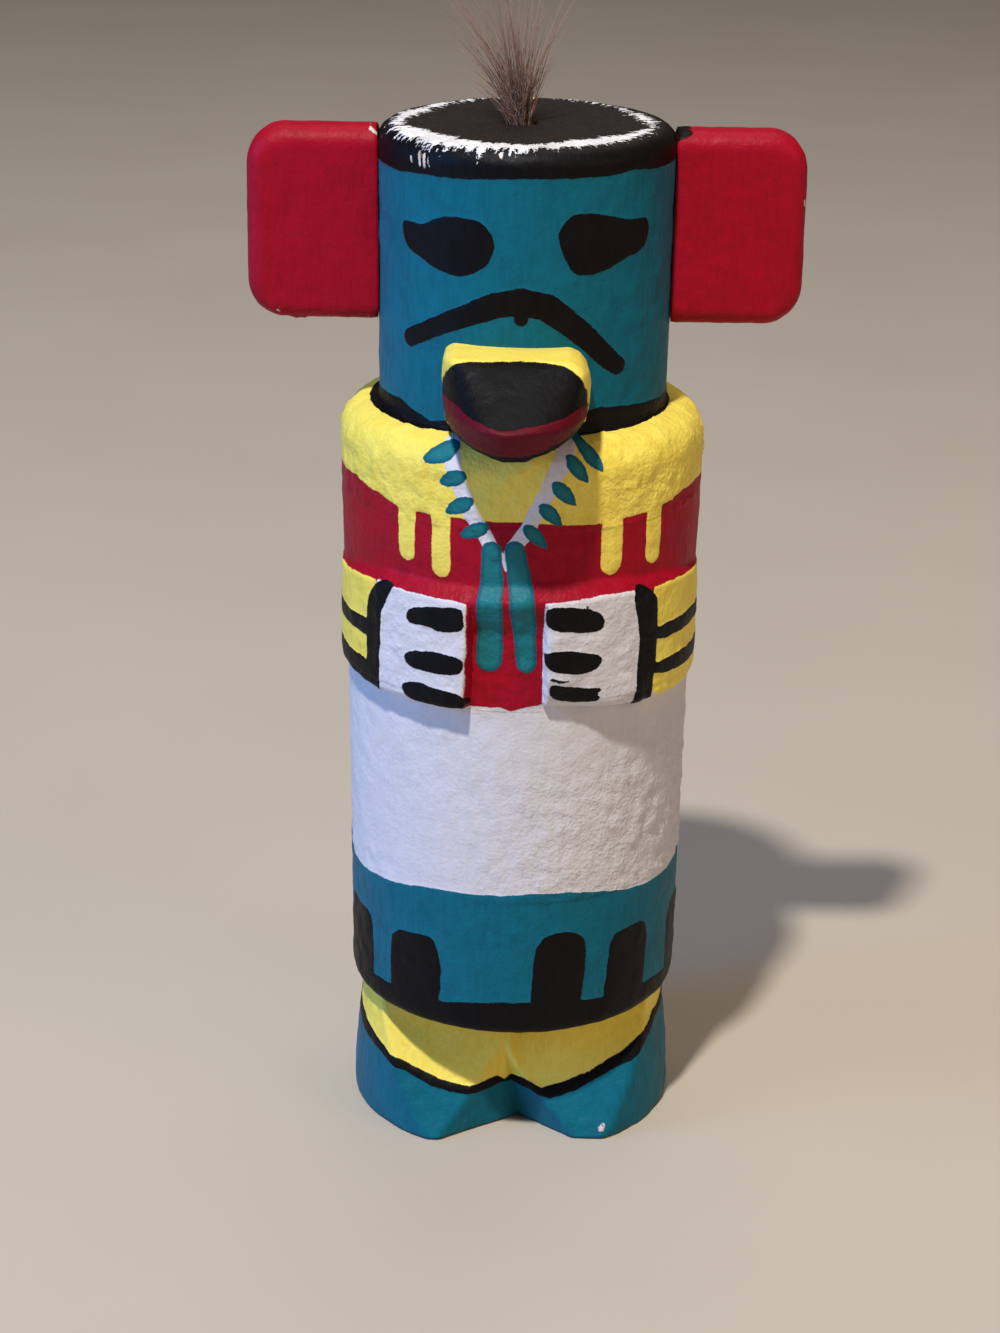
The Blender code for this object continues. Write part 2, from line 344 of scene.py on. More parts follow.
RIGHT_EYE = Patch((
    (-23.4, 166.9), (-19.5, 166.6), (-17.2, 167.4), (-14.7, 168.7), (-11.2, 169.0), (-8.1, 168.8),
    (-6.3, 167.6), (-4.9, 165.2), (-5.9, 161.8), (-8.2, 160.0), (-11.8, 159.0), (-15.6, 159.9),
    (-21.5, 162.2), (-23.4, 164.2),
))
LEFT_EYE = Patch((
    (5.0, 166.8), (5.9, 168.8), (7.6, 170.1), (11.6, 170.0), (15.2, 168.8), (18.8, 168.1),
    (23.0, 168.1), (22.9, 164.0), (20.6, 162.4), (16.7, 161.6), (13.5, 160.3), (10.8, 159.8),
    (7.7, 160.0), (5.7, 163.9),
))
ARCHED_LINE = Stroke((
    (-21.6, 147.2, 3.1), (-15.3, 150.3, 3.2), (-8.8, 153.3, 3.8), (-4.7, 155.0, 4.3),
    (-0.9, 155.7, 4.6), (3.3, 154.9, 4.5), (6.7, 152.4, 4.3), (10.4, 149.4, 3.9),
    (13.5, 146.4, 3.6), (16.6, 143.9, 3.2),
))
ARCH_DROP = Stroke(((-0.8, 155.0, 2.4), (-0.7, 152.8, 2.3)))
CROWN_EDGE = Belt(
    foot=(
        (-70.0, 175.0), (-24.0, 174.6), (-21.0, 175.0), (-12.0, 175.2), (0.0, 175.9), (14.0, 175.8),
        (19.0, 176.3), (24.0, 175.6), (70.0, 175.0),
    ),
)
NECK_BAND = Belt(
    foot=((-80.0, 132.6), (80.0, 132.6)),
    head=(
        (-34.7, 135.3), (-24.6, 136.2), (-21.5, 135.2), (-16.6, 133.9), (-14.5, 134.3),
        (-9.0, 135.6), (8.0, 136.8), (11.6, 136.9), (13.4, 137.4), (15.8, 136.8), (18.8, 136.7),
        (23.8, 136.2), (31.8, 135.4),
    ),
)
RIM_CHIPS = (
    Stroke(((-21.0, 177.5, 0.5), (-20.8, 176.7, 0.4))),
    Stroke(((-19.3, 178.4, 0.5), (-18.9, 176.4, 0.5))),
    Stroke(((-18.2, 178.2, 0.6), (-17.9, 176.2, 0.5))),
    Stroke(((-17.2, 177.9, 0.4), (-17.0, 176.6, 0.4))),
    Stroke(((-4.5, 179.6, 0.7), (-4.3, 178.9, 0.3))),
)
HEAD_ZONE = PaintZone(
    24.8,
    {
        Coat.TEAL: (Belt(foot=((-80.0, 133.6), (80.0, 133.6))),),
        Coat.BLACK: (RIGHT_EYE, LEFT_EYE, ARCHED_LINE, ARCH_DROP, CROWN_EDGE, NECK_BAND),
        Coat.CHIP: RIM_CHIPS,
    },
)

SHIRT = Belt(
    foot=(
        (-98.0, 86.6), (-62.0, 86.6), (-60.0, 88.4), (-9.9, 88.4), (-9.2, 86.7), (-3.2, 86.9),
        (-1.5, 86.3), (0.6, 86.8), (4.3, 87.6), (5.4, 88.6), (60.0, 88.4), (62.0, 86.6),
        (98.0, 86.6),
    ),
    head=((-99.0, 134.0), (99.0, 134.0)),
)
CAPE = Belt(
    foot=(
        (-97.0, 120.6), (-80.0, 121.8), (-60.0, 120.9), (-35.1, 122.5), (-27.6, 121.4),
        (-22.4, 120.1), (-17.0, 120.0), (-7.7, 120.2), (0.4, 120.2), (6.8, 119.5), (13.7, 119.3),
        (19.9, 119.6), (26.8, 120.2), (32.9, 121.2), (41.6, 121.3), (60.0, 120.4), (80.0, 121.4),
        (97.0, 120.6),
    ),
    head=((-99.0, 134.0), (99.0, 134.0)),
)
CAPE_DRIPS = (
    drip(-20.5, 122.0, 111.0, 3.6),
    drip(-13.7, 122.0, 109.3, 3.5),
    drip(15.7, 121.5, 109.9, 4.2),
    drip(24.6, 122.0, 110.2, 3.6),
    drip(71.0, 122.0, 110.8, 3.7),
    drip(79.5, 122.0, 111.2, 3.4),
    drip(-74.0, 122.0, 110.6, 3.6),
    drip(-82.0, 122.0, 111.4, 3.4),
)
NECKLACE_CORD = (
    Stroke((
        (-13.2, 131.9, 2.8), (-12.5, 131.1, 2.8), (-10.1, 125.2, 2.7), (-8.1, 120.8, 2.7),
        (-6.0, 117.6, 2.6), (-4.4, 114.4, 2.4),
    )),
    Stroke((
        (8.3, 132.6, 2.8), (5.2, 127.9, 2.8), (3.1, 123.4, 2.7), (1.0, 118.8, 2.6),
        (-1.2, 115.8, 2.4), (-2.4, 113.6, 1.8), (-2.4, 111.9, 0.9),
    )),
)
BEADS = (
    bead((-17.1, 129.2), (-14.3, 130.4), (-11.4, 131.7), 3.2),
    bead((-13.9, 125.9), (-11.6, 126.9), (-9.5, 127.7), 2.9),
    bead((-12.7, 120.9), (-10.3, 122.6), (-8.1, 123.5), 2.9),
    bead((-10.1, 117.2), (-7.7, 118.3), (-5.4, 119.4), 2.8),
    bead((13.4, 128.4), (11.7, 131.0), (9.9, 133.2), 2.8),
    bead((10.9, 126.7), (8.9, 129.2), (7.6, 130.9), 2.6),
    bead((8.8, 123.0), (6.7, 125.3), (5.1, 126.9), 2.7),
    bead((6.6, 119.5), (4.5, 121.7), (3.0, 123.2), 2.7),
    bead((4.1, 115.8), (2.0, 118.1), (0.6, 119.6), 2.6),
)
PENDANTS = (
    Stroke(((-4.9, 115.0, 3.4), (-4.8, 108.8, 3.9), (-4.9, 102.1, 4.3), (-5.2, 95.7, 4.6))),
    Stroke(((-1.0, 115.2, 3.4), (0.0, 109.0, 4.0), (0.7, 102.4, 4.1), (1.2, 95.2, 3.6))),
)
TORSO_ZONE = PaintZone(
    31.0,
    {
        Coat.RED: (SHIRT,),
        Coat.YELLOW: (CAPE, *CAPE_DRIPS),
        Coat.WHITE: NECKLACE_CORD,
        Coat.BEAD: (*BEADS, *PENDANTS),
    },
)

SLEEVES = patches(
    1,
    ((-59.0, 103.4), (-39.7, 104.7), (-32.3, 105.9), (-24.0, 106.5), (-24.0, 84.0), (-59.0, 84.0)),
    ((22.0, 106.5), (28.9, 106.5), (37.1, 105.5), (59.0, 103.6), (59.0, 83.0), (22.0, 83.0)),
)
HANDS = patches(
    0,
    ((-26.0, 106.5), (-8.4, 106.0), (-9.1, 84.0), (-26.0, 84.0)),
    ((3.9, 106.6), (14.3, 107.2), (22.0, 106.7), (22.0, 84.0), (4.1, 84.0)),
)
CUFFS = patches(
    1,
    (
        (-25.5, 106.7), (-28.1, 103.4), (-28.8, 99.2), (-28.6, 95.3), (-29.0, 91.1), (-29.0, 84.6),
        (-25.2, 84.6), (-25.2, 92.4), (-24.7, 97.0), (-24.6, 101.0), (-23.1, 104.7), (-21.4, 106.9),
    ),
    (
        (20.4, 108.0), (19.0, 106.5), (19.6, 103.4), (20.5, 97.6), (20.2, 92.4), (19.7, 86.7),
        (19.7, 84.0), (24.0, 84.0), (24.0, 87.3), (24.5, 95.6), (24.7, 104.1), (23.1, 106.2),
    ),
)
SLEEVE_STRIPES = patches(
    1,
    ((-60.0, 98.2), (-41.0, 97.9), (-26.0, 99.0), (-26.0, 95.8), (-41.0, 95.2), (-60.0, 95.4)),
    ((-60.0, 91.6), (-41.0, 91.0), (-26.0, 91.3), (-26.0, 84.0), (-41.0, 84.0), (-60.0, 84.0)),
    ((23.0, 99.4), (38.0, 98.9), (60.0, 98.4), (60.0, 95.6), (38.0, 96.1), (23.0, 96.7)),
    ((23.0, 93.1), (38.0, 92.2), (60.0, 91.6), (60.0, 88.6), (38.0, 89.0), (23.0, 90.6)),
)
FINGERS = patches(
    1,
    (
        (-19.1, 103.0), (-17.0, 104.1), (-12.9, 104.9), (-9.3, 105.2), (-8.7, 104.1), (-8.7, 101.6),
        (-10.1, 100.8), (-12.8, 100.4), (-14.9, 101.1), (-18.1, 100.6), (-19.2, 101.4),
    ),
    (
        (-19.4, 95.3), (-16.5, 96.5), (-12.1, 96.7), (-8.9, 96.4), (-8.8, 94.2), (-10.0, 93.1),
        (-14.2, 92.8), (-18.4, 93.0), (-19.5, 94.1),
    ),
    (
        (-19.7, 89.8), (-17.2, 90.7), (-13.5, 90.2), (-9.3, 89.9), (-8.6, 88.6), (-8.3, 87.3),
        (-11.3, 86.9), (-15.7, 86.8), (-19.2, 87.3), (-20.1, 88.6),
    ),
    (
        (4.1, 105.4), (5.3, 106.1), (9.4, 105.7), (12.6, 104.6), (13.7, 103.1), (13.5, 101.4),
        (11.9, 100.9), (8.4, 101.3), (5.4, 101.8), (4.2, 102.8),
    ),
    (
        (4.3, 97.8), (5.7, 98.3), (9.6, 97.8), (12.7, 97.0), (13.5, 96.1), (13.1, 95.0),
        (12.1, 94.1), (9.7, 93.6), (6.1, 94.2), (4.5, 95.1),
    ),
    (
        (4.8, 92.0), (5.8, 92.2), (9.8, 91.1), (13.2, 90.9), (13.7, 90.3), (12.6, 89.7),
        (13.5, 89.1), (13.0, 88.1), (9.8, 88.2), (6.6, 88.7), (4.9, 89.8),
    ),
)
FINGER_SLIPS = (
    Stroke(((5.1, 93.1, 0.5), (6.5, 92.7, 0.5), (8.0, 92.8, 0.4))),
    Stroke(((10.5, 105.6, 0.7), (10.8, 105.6, 0.6))),
)
ARM_ZONE = PaintZone(
    31.0,
    {
        Coat.YELLOW: SLEEVES,
        Coat.WHITE: HANDS,
        Coat.BLACK: (*CUFFS, *SLEEVE_STRIPES, *FINGERS, *FINGER_SLIPS),
    },
)

KILT_BAND = Belt(
    foot=((-99.0, 20.0), (99.0, 20.0)),
    head=(
        (-93.0, 49.0), (-60.0, 51.0), (-47.5, 52.0), (-43.0, 50.2), (-39.5, 48.9), (-34.4, 48.7),
        (-27.4, 49.3), (-22.9, 49.8), (-15.1, 51.0), (-8.1, 51.3), (-2.5, 51.4), (3.5, 51.9),
        (9.7, 51.6), (15.5, 50.8), (21.6, 49.6), (27.9, 49.2), (34.1, 49.2), (44.0, 50.3),
        (93.0, 49.0),
    ),
)
FRONT_BLOCKS = (
    Patch((
        (-43.5, 41.0), (-34.4, 40.9), (-30.9, 40.9), (-30.2, 35.4), (-29.9, 26.0), (-43.0, 26.0),
    )),
    Patch((
        (-24.2, 40.4), (-18.1, 41.4), (-15.0, 41.5), (-13.6, 38.4), (-13.1, 34.0), (-14.2, 26.0),
        (-24.8, 26.0), (-24.7, 35.0),
    ), soften=1),
    Patch((
        (4.2, 42.8), (8.2, 44.4), (12.3, 43.3), (13.3, 39.9), (12.9, 34.5), (11.8, 26.0),
        (3.0, 26.0), (3.3, 37.5),
    ), soften=1),
    Patch((
        (18.2, 41.4), (21.6, 42.1), (26.8, 42.3), (27.8, 38.3), (27.4, 33.8), (26.5, 26.0),
        (16.9, 26.0), (17.6, 35.7),
    ), soften=1),
)
BACK_BLOCKS = (
    block(36.0, 45.5, 41.2, 41.6),
    block(56.0, 65.0, 41.6, 41.0),
    block(76.0, 86.0, 41.0, 41.6),
    block(-63.0, -53.5, 41.4, 41.0),
    block(-83.0, -73.5, 41.0, 41.6),
)
HEM_BAND = Belt(
    foot=((-99.0, 20.0), (99.0, 20.0)),
    head=(
        (-93.0, 28.9), (-30.6, 29.0), (-25.0, 29.1), (-18.7, 28.8), (-14.2, 29.1), (-8.0, 30.1),
        (-2.2, 30.6), (3.1, 30.7), (12.1, 30.0), (17.1, 29.6), (26.6, 29.2), (34.6, 28.6),
        (93.0, 28.9),
    ),
)
KILT_ZONE = PaintZone(
    29.7,
    {
        Coat.TEAL: (KILT_BAND,),
        Coat.BLACK: (*FRONT_BLOCKS, *BACK_BLOCKS, HEM_BAND),
    },
)

SHOE_TOP: Line = (
    (-88.0, 19.6), (-60.0, 19.4), (-45.0, 18.4), (-35.9, 16.7), (-27.0, 14.6), (-21.8, 12.3),
    (-16.4, 10.0), (-12.8, 9.3), (-9.9, 8.8), (-7.2, 9.4), (-4.2, 9.7), (-2.1, 8.5), (0.6, 9.5),
    (3.8, 9.6), (7.6, 8.3), (12.9, 9.3), (18.7, 11.1), (24.2, 14.1), (27.8, 17.0), (33.0, 19.6),
    (45.0, 20.4), (88.0, 19.6),
)
SHOE_FOOT: Line = (
    (-88.0, 17.7), (-60.0, 17.5), (-45.0, 16.0), (-36.2, 14.2), (-27.4, 13.0), (-22.6, 11.5),
    (-17.4, 8.8), (-14.0, 7.9), (-10.4, 7.4), (-8.1, 7.4), (-4.2, 8.0), (0.6, 7.8), (5.1, 7.5),
    (9.2, 6.5), (14.6, 7.8), (19.2, 9.8), (23.9, 12.2), (28.7, 15.0), (33.9, 17.9), (45.0, 18.6),
    (88.0, 17.7),
)

SHOE_ZONE = PaintZone(
    28.0,
    {
        Coat.YELLOW: (Belt(head=((-99.0, 30.0), (99.0, 30.0))),),
        Coat.TEAL: (Belt(head=SHOE_TOP),),
        Coat.BLACK: (Belt(foot=SHOE_FOOT, head=SHOE_TOP),),
        Coat.CHIP: (Stroke(((17.3, 1.7, 0.7), (18.1, 2.5, 0.5))),),
    },
)

# The white ring's edges on the crown: degrees round from the front, and how far out.
RING_INNER: Line = (
    (-180.0, 22.0), (-155.0, 21.1), (-142.0, 20.2), (-115.0, 18.3), (-97.0, 19.8), (-79.0, 20.8),
    (-65.0, 18.4), (-47.0, 17.8), (-31.0, 18.7), (-16.0, 18.9), (0.0, 18.6), (13.0, 17.9),
    (27.0, 16.6), (44.0, 16.8), (65.0, 18.5), (75.0, 19.5), (88.0, 20.3), (99.0, 18.6),
    (125.0, 19.4), (147.0, 21.5), (180.0, 22.0),
)
RING_OUTER: Line = (
    (-180.0, 22.7), (-150.0, 22.3), (-120.0, 22.0), (-95.0, 22.6), (-75.0, 23.2), (-55.0, 24.2),
    (-32.0, 24.9), (-15.0, 24.1), (0.0, 23.4), (20.0, 22.4), (45.0, 22.0), (70.0, 21.6),
    (90.0, 21.9), (120.0, 21.2), (150.0, 22.4), (180.0, 22.7),
)


@dataclass(frozen=True)
class Swell:
    """A kind of noise: its swells to one unit of the place, its finer layers and their strength."""

    scale: float
    layers: float = 2.0
    strength: float = 0.5


class Bench:
    """Lays out the nodes of one tree and joins them."""

    def __init__(self, tree: bpy.types.NodeTree) -> None:
        """Take up an empty or part-made tree."""
        self.tree = tree

    def add(self, kind: str, **settings: object) -> bpy.types.Node:
        """Add one node and set its options.

        Args:
            kind: The node's type name.
            **settings: Options of the node, by name.

        Returns:
            The new node.
        """
        node = self.tree.nodes.new(kind)
        for name, value in settings.items():
            setattr(node, name, value)
        return node

    def feed(self, socket: Socket, value: object) -> None:
        """Link a socket to another, or set its own value.

        Args:
            socket: The input to fill.
            value: The output to link, or a plain value.
        """
        if isinstance(value, bpy.types.NodeSocket):
            self.tree.links.new(value, socket)
        else:
            socket.default_value = value

    def output(self, kind: str, feeds: dict[str | int, object], **settings: object) -> Socket:
        """Add one node, fill its inputs and give its first output.

        Args:
            kind: The node's type name.
            feeds: What its inputs take, by name or number.
            **settings: Options of the node, by name.

        Returns:
            The node's first output.
        """
        node = self.add(kind, **settings)
        for key, value in feeds.items():
            self.feed(node.inputs[key], value)
        return node.outputs[0]

    def reckon(self, operation: str, *values: object) -> Socket:
        """One step of arithmetic on numbers, which it takes in order."""
        return self.output("ShaderNodeMath", dict(enumerate(values)), operation=operation)

    def plus(self, first: object, second: object) -> Socket:
        """Two numbers added."""
        return self.reckon("ADD", first, second)

    def less(self, first: object, second: object) -> Socket:
        """The second number taken from the first."""
        return self.reckon("SUBTRACT", first, second)

    def times(self, first: object, second: object) -> Socket:
        """Two numbers multiplied."""
        return self.reckon("MULTIPLY", first, second)

    def vector(self, operation: str, first: object, second: object) -> Socket:
        """One step of arithmetic on vectors. Scale takes its number second."""
        feeds = {0: first, "Scale" if operation == "SCALE" else 1: second}
        return self.output("ShaderNodeVectorMath", feeds, operation=operation)

    def noise(self, place: object, swell: Swell, scale: object = None) -> Socket:
        """A noise value from 0 to 1 at a place.

        Args:
            place: Where the noise is read.
            swell: The kind of noise.
            scale: Its swells to one unit of the place, where another node gives them.

        Returns:
            The noise value.
        """
        feeds = {
            "Vector": place,
            "Scale": swell.scale if scale is None else scale,
            "Detail": swell.layers,
            "Roughness": swell.strength,
        }
        return self.output("ShaderNodeTexNoise", feeds)

    def step(
        self, value: object, low: object, high: object, first: float = 0.0, last: float = 1.0
    ) -> Socket:
        """Go smoothly from the first value at low to the last at high.

        Args:
            value: What is looked at.
            low: Where the rise begins.
            high: Where it ends.
            first: The result up to low.
            last: The result from high on.

        Returns:
            The result.
        """
        feeds = dict(enumerate((value, low, high, first, last)))
        return self.output("ShaderNodeMapRange", feeds, interpolation_type="SMOOTHSTEP")

    def mix(self, share: object, first: object, second: object) -> Socket:
        """Mix two colours, the second by the share."""
        node = self.add("ShaderNodeMix", data_type="RGBA")
        return self.mixed(node, (0, 6, 7), (share, first, second))

    def blend(self, share: object, first: object, second: object) -> Socket:
        """Mix two numbers, the second by the share."""
        node = self.add("ShaderNodeMix", data_type="FLOAT")
        return self.mixed(node, (0, 2, 3), (share, first, second))

    def mixed(self, node: bpy.types.Node, places: tuple[int, ...], values: tuple) -> Socket:
        """Fill a mixing node.

        Args:
            node: The node.
            places: Which of its inputs are filled.
            values: What they take.

        Returns:
            The output of the same kind as the node mixes.
        """
        for place, value in zip(places, values):
            self.feed(node.inputs[place], value)
        return node.outputs[2 if node.data_type == "RGBA" else 0]


class ShaderBench(Bench):
    """The nodes of one material, with a single shader to dress."""

    def __init__(self, name: str) -> None:
        """Make the material and clear its nodes.

        Args:
            name: The material's name.
        """
        self.material = bpy.data.materials.new(name)
        self.material.use_nodes = True
        super().__init__(self.material.node_tree)
        self.tree.nodes.clear()
        self.shader = self.add("ShaderNodeBsdfPrincipled")
        output = self.add("ShaderNodeOutputMaterial")
        self.feed(output.inputs["Surface"], self.shader.outputs[0])
        coordinates = self.add("ShaderNodeTexCoord")
        self.place = self.vector("SCALE", coordinates.outputs["Object"], 1 / MM)

    def attribute(self, name: str, output: str = "Fac") -> Socket:
        """A number stored on the mesh, or a vector."""
        return self.add("ShaderNodeAttribute", attribute_name=name).outputs[output]

    def look(self, name: str, value: object) -> None:
        """Set or link one of the shader's inputs."""
        self.feed(self.shader.inputs[name], value)

    def bump(self, height: Socket) -> None:
        """Give the shader a bump from a height in millimetres."""
        feeds = {"Strength": 1.0, "Distance": MM, "Height": height}
        self.look("Normal", self.output("ShaderNodeBump", feeds))


@dataclass(frozen=True)
class Paint:
    """One pot of paint: its colour where thick, its colour where thin, and its shine."""

    thick: Colour
    thin: Colour
    roughness: float


WHITE_PAINT = Paint(paint_colour(211, 206, 208), paint_colour(207, 201, 202), 0.66)
PAINTS = {
    Coat.RED: Paint(paint_colour(160, 9, 34), paint_colour(146, 8, 30), 0.5),
    Coat.YELLOW: Paint(paint_colour(240, 217, 96), paint_colour(234, 206, 80), 0.52),
    Coat.TEAL: Paint(paint_colour(11, 98, 117), paint_colour(9, 88, 106), 0.5),
    Coat.WHITE: WHITE_PAINT,
    Coat.BLACK: Paint(paint_colour(10, 8, 9), paint_colour(15, 12, 13), 0.5),
    # The lip's red is the shirt's red darkened: painted shade on the downward-facing lip.
    Coat.SHADED_LIP: Paint(paint_colour(96, 9, 26), paint_colour(84, 8, 22), 0.5),
    Coat.BEAD: Paint(paint_colour(30, 112, 116), paint_colour(14, 90, 104), 0.46),
    Coat.RING: Paint(paint_colour(228, 224, 222), paint_colour(196, 190, 186), 0.66),
    Coat.CHIP: Paint(paint_colour(222, 208, 198), paint_colour(196, 172, 154), 0.7),
}


@dataclass(frozen=True)
class BrushedPaint:
    """Hand-laid paint over white ground: coats in order, brush streaks and the ground's grain.

    A pair of numbers says where a smooth step begins and ends, or its first and last value.
    """

    name: str
    coats: tuple[Coat, ...]
    ground: Paint = WHITE_PAINT
    edge: float = 0.07
    wander: float = 0.30
    fraying: Swell = Swell(2.3, 3.0, 0.6)
    streak: Place = (1.0, 1.0, 0.22)
    streaks: Swell = Swell(1.1, 4.0, 0.62)
    streak_share: float = 0.55
    clouds: Swell = Swell(0.16, 3.0, 0.6)
    worn_thin: Point = (0.40, 0.66)
    bead_rim: Point = (0.1, 0.95)
    bead_shade: Point = (1.0, 0.1)
    coat_edge: Point = (-0.15, 0.25)
    coat_height: float = 0.05
    # A brownish-grey painted highlight laid in patches over the crown's top, where the top faces the lamps.
    highlight_tint: Colour = paint_colour(70, 59, 52)
    highlight_cover: Point = (0.3, 0.7)
    highlight_share: Point = (0.14, 0.36)
    gloss_swing: float = 0.25
    shine: float = 0.11
    scratches: Swell = Swell(0.75, 4.0, 0.7)
    scratch_share: float = 0.6
    speckle: Swell = Swell(1.5, 4.0, 0.7)
    wetness: float = 0.075
    dry_edge: Point = (0.525, 0.565)
    grain: float = 0.035
    pitting: Swell = Swell(1.7, 3.0, 0.55)
    pits: float = 0.06
    orange_peel: Swell = Swell(0.85)
    peel_share: float = 2.2

    def material(self) -> bpy.types.Material:
        """Build the paint's nodes.

        Returns:
            The finished material.
        """
        bench = ShaderBench(self.name)
        place = bench.place
        brushed = bench.noise(bench.vector("MULTIPLY", place, self.streak), self.streaks)
        cloudy = bench.times(bench.noise(place, self.clouds), 1 - self.streak_share)
        worn = bench.plus(bench.times(brushed, self.streak_share), cloudy)
        thinness = bench.step(worn, *self.worn_thin)
        frayed = bench.noise(place, self.fraying)
        fray = bench.times(bench.less(frayed, 0.5), self.wander)
        colour = bench.mix(thinness, self.ground.thick, self.ground.thin)
        gloss: object = self.ground.roughness
        layers: object = 0.0
        for coat in self.coats:
            paint = PAINTS[coat]
            depth = bench.plus(bench.attribute(coat.value), fray)
            if coat is Coat.RING:
                mask = self.dry_brushed(bench, depth)
            else:
                mask = bench.step(depth, -self.edge, self.edge)
            thin = thinness
            if coat is Coat.BEAD:
                thin = bench.step(depth, *self.bead_rim, *self.bead_shade)
            tint = bench.mix(thin, paint.thick, paint.thin)
            colour = bench.mix(mask, colour, tint)
            gloss = bench.blend(mask, gloss, paint.roughness)
            layers = bench.plus(layers, bench.step(depth, *self.coat_edge))
        # Painted highlight: the crown's top is lightened in patches with a brownish grey.
        highlight_patches = bench.step(frayed, *self.highlight_cover, *self.highlight_share)
        highlight = bench.times(bench.attribute("crown_top_highlight"), highlight_patches)
        bench.look("Base Color", bench.mix(highlight, colour, self.highlight_tint))
        varied = bench.times(bench.less(brushed, 0.5), self.gloss_swing)
        bench.look("Roughness", bench.plus(gloss, varied))
        bench.look("Specular IOR Level", self.shine)
        bench.bump(self.relief(bench, brushed, layers))
        return bench.material

    def dry_brushed(self, bench: ShaderBench, depth: Socket) -> Socket:
        """Break a coat into the scratches of a nearly dry brush.

        Args:
            bench: The material being made.
            depth: The coat's depth.

        Returns:
            The share of paint at each place.
        """
        scratched = bench.noise(bench.attribute("brush_way", "Vector"), self.scratches)
        speckled = bench.times(bench.noise(bench.place, self.speckle), 1 - self.scratch_share)
        load = bench.plus(bench.times(scratched, self.scratch_share), speckled)
        wet = bench.plus(load, bench.times(depth, self.wetness))
        return bench.step(wet, *self.dry_edge)

    def relief(self, bench: ShaderBench, brushed: Socket, layers: Socket) -> Socket:
        """The height of the ground's grain, brush marks and coats, in millimetres.

        Args:
            bench: The material being made.
            brushed: The brush streaks.
            layers: How many coats lie at each place.

        Returns:
            The height.
        """
        rough = bench.attribute("rough_ground")
        fine = bench.noise(bench.place, self.pitting)
        orange_peel = bench.noise(bench.place, self.orange_peel)
        peel = bench.times(orange_peel, bench.times(rough, self.pits * self.peel_share))
        pits = bench.times(fine, bench.times(rough, self.pits))
        height = bench.plus(bench.times(brushed, self.grain), bench.plus(peel, pits))
        return bench.plus(height, bench.times(layers, self.coat_height))


@dataclass(frozen=True)
class HairFinish:
    """Soft brown hair, dark at the root and paler at the tip."""

    name: str = "brown_hair"
    root: Colour = paint_colour(62, 40, 32)
    middle: Colour = paint_colour(122, 80, 60)
    tip: Colour = paint_colour(168, 126, 98)
    dark_root: Point = (0.05, 0.42)
    pale_tip: Point = (0.4, 1.0)
    own_tone: float = 0.3
    flecks: Swell = Swell(1.2)
    gloss: Point = (0.4, 0.62)
    sheen: float = 0.25

    def material(self) -> bpy.types.Material:
        """Build the hair's nodes.

        Returns:
            The finished material.
        """
        bench = ShaderBench(self.name)
        way = bench.attribute("hair_way")
        tone = bench.attribute("hair_tone")
        lower = bench.mix(bench.step(way, *self.dark_root), self.root, self.middle)
        whole = bench.mix(bench.step(way, *self.pale_tip), lower, self.tip)
        shade = bench.mix(bench.step(tone, 0.0, 1.0), self.root, self.tip)
        bench.look("Base Color", bench.mix(self.own_tone, whole, shade))
        bench.look("Roughness", bench.blend(bench.noise(bench.place, self.flecks), *self.gloss))
        bench.look("Sheen Weight", self.sheen)
        return bench.material


@dataclass(frozen=True)
class FloorFinish:
    """A plain pale matt floor with the faintest cloud in it."""

    name: str = "pale_floor"
    pale: Colour = paint_colour(190, 178, 161)
    deep: Colour = paint_colour(182, 169, 152)
    clouds: Swell = Swell(0.012)
    roughness: float = 0.6

    def material(self) -> bpy.types.Material:
        """Build the floor's nodes.

        Returns:
            The finished material.
        """
        bench = ShaderBench(self.name)
        cloud = bench.noise(bench.place, self.clouds)
        bench.look("Base Color", bench.mix(cloud, self.deep, self.pale))
        bench.look("Roughness", self.roughness)
        return bench.material


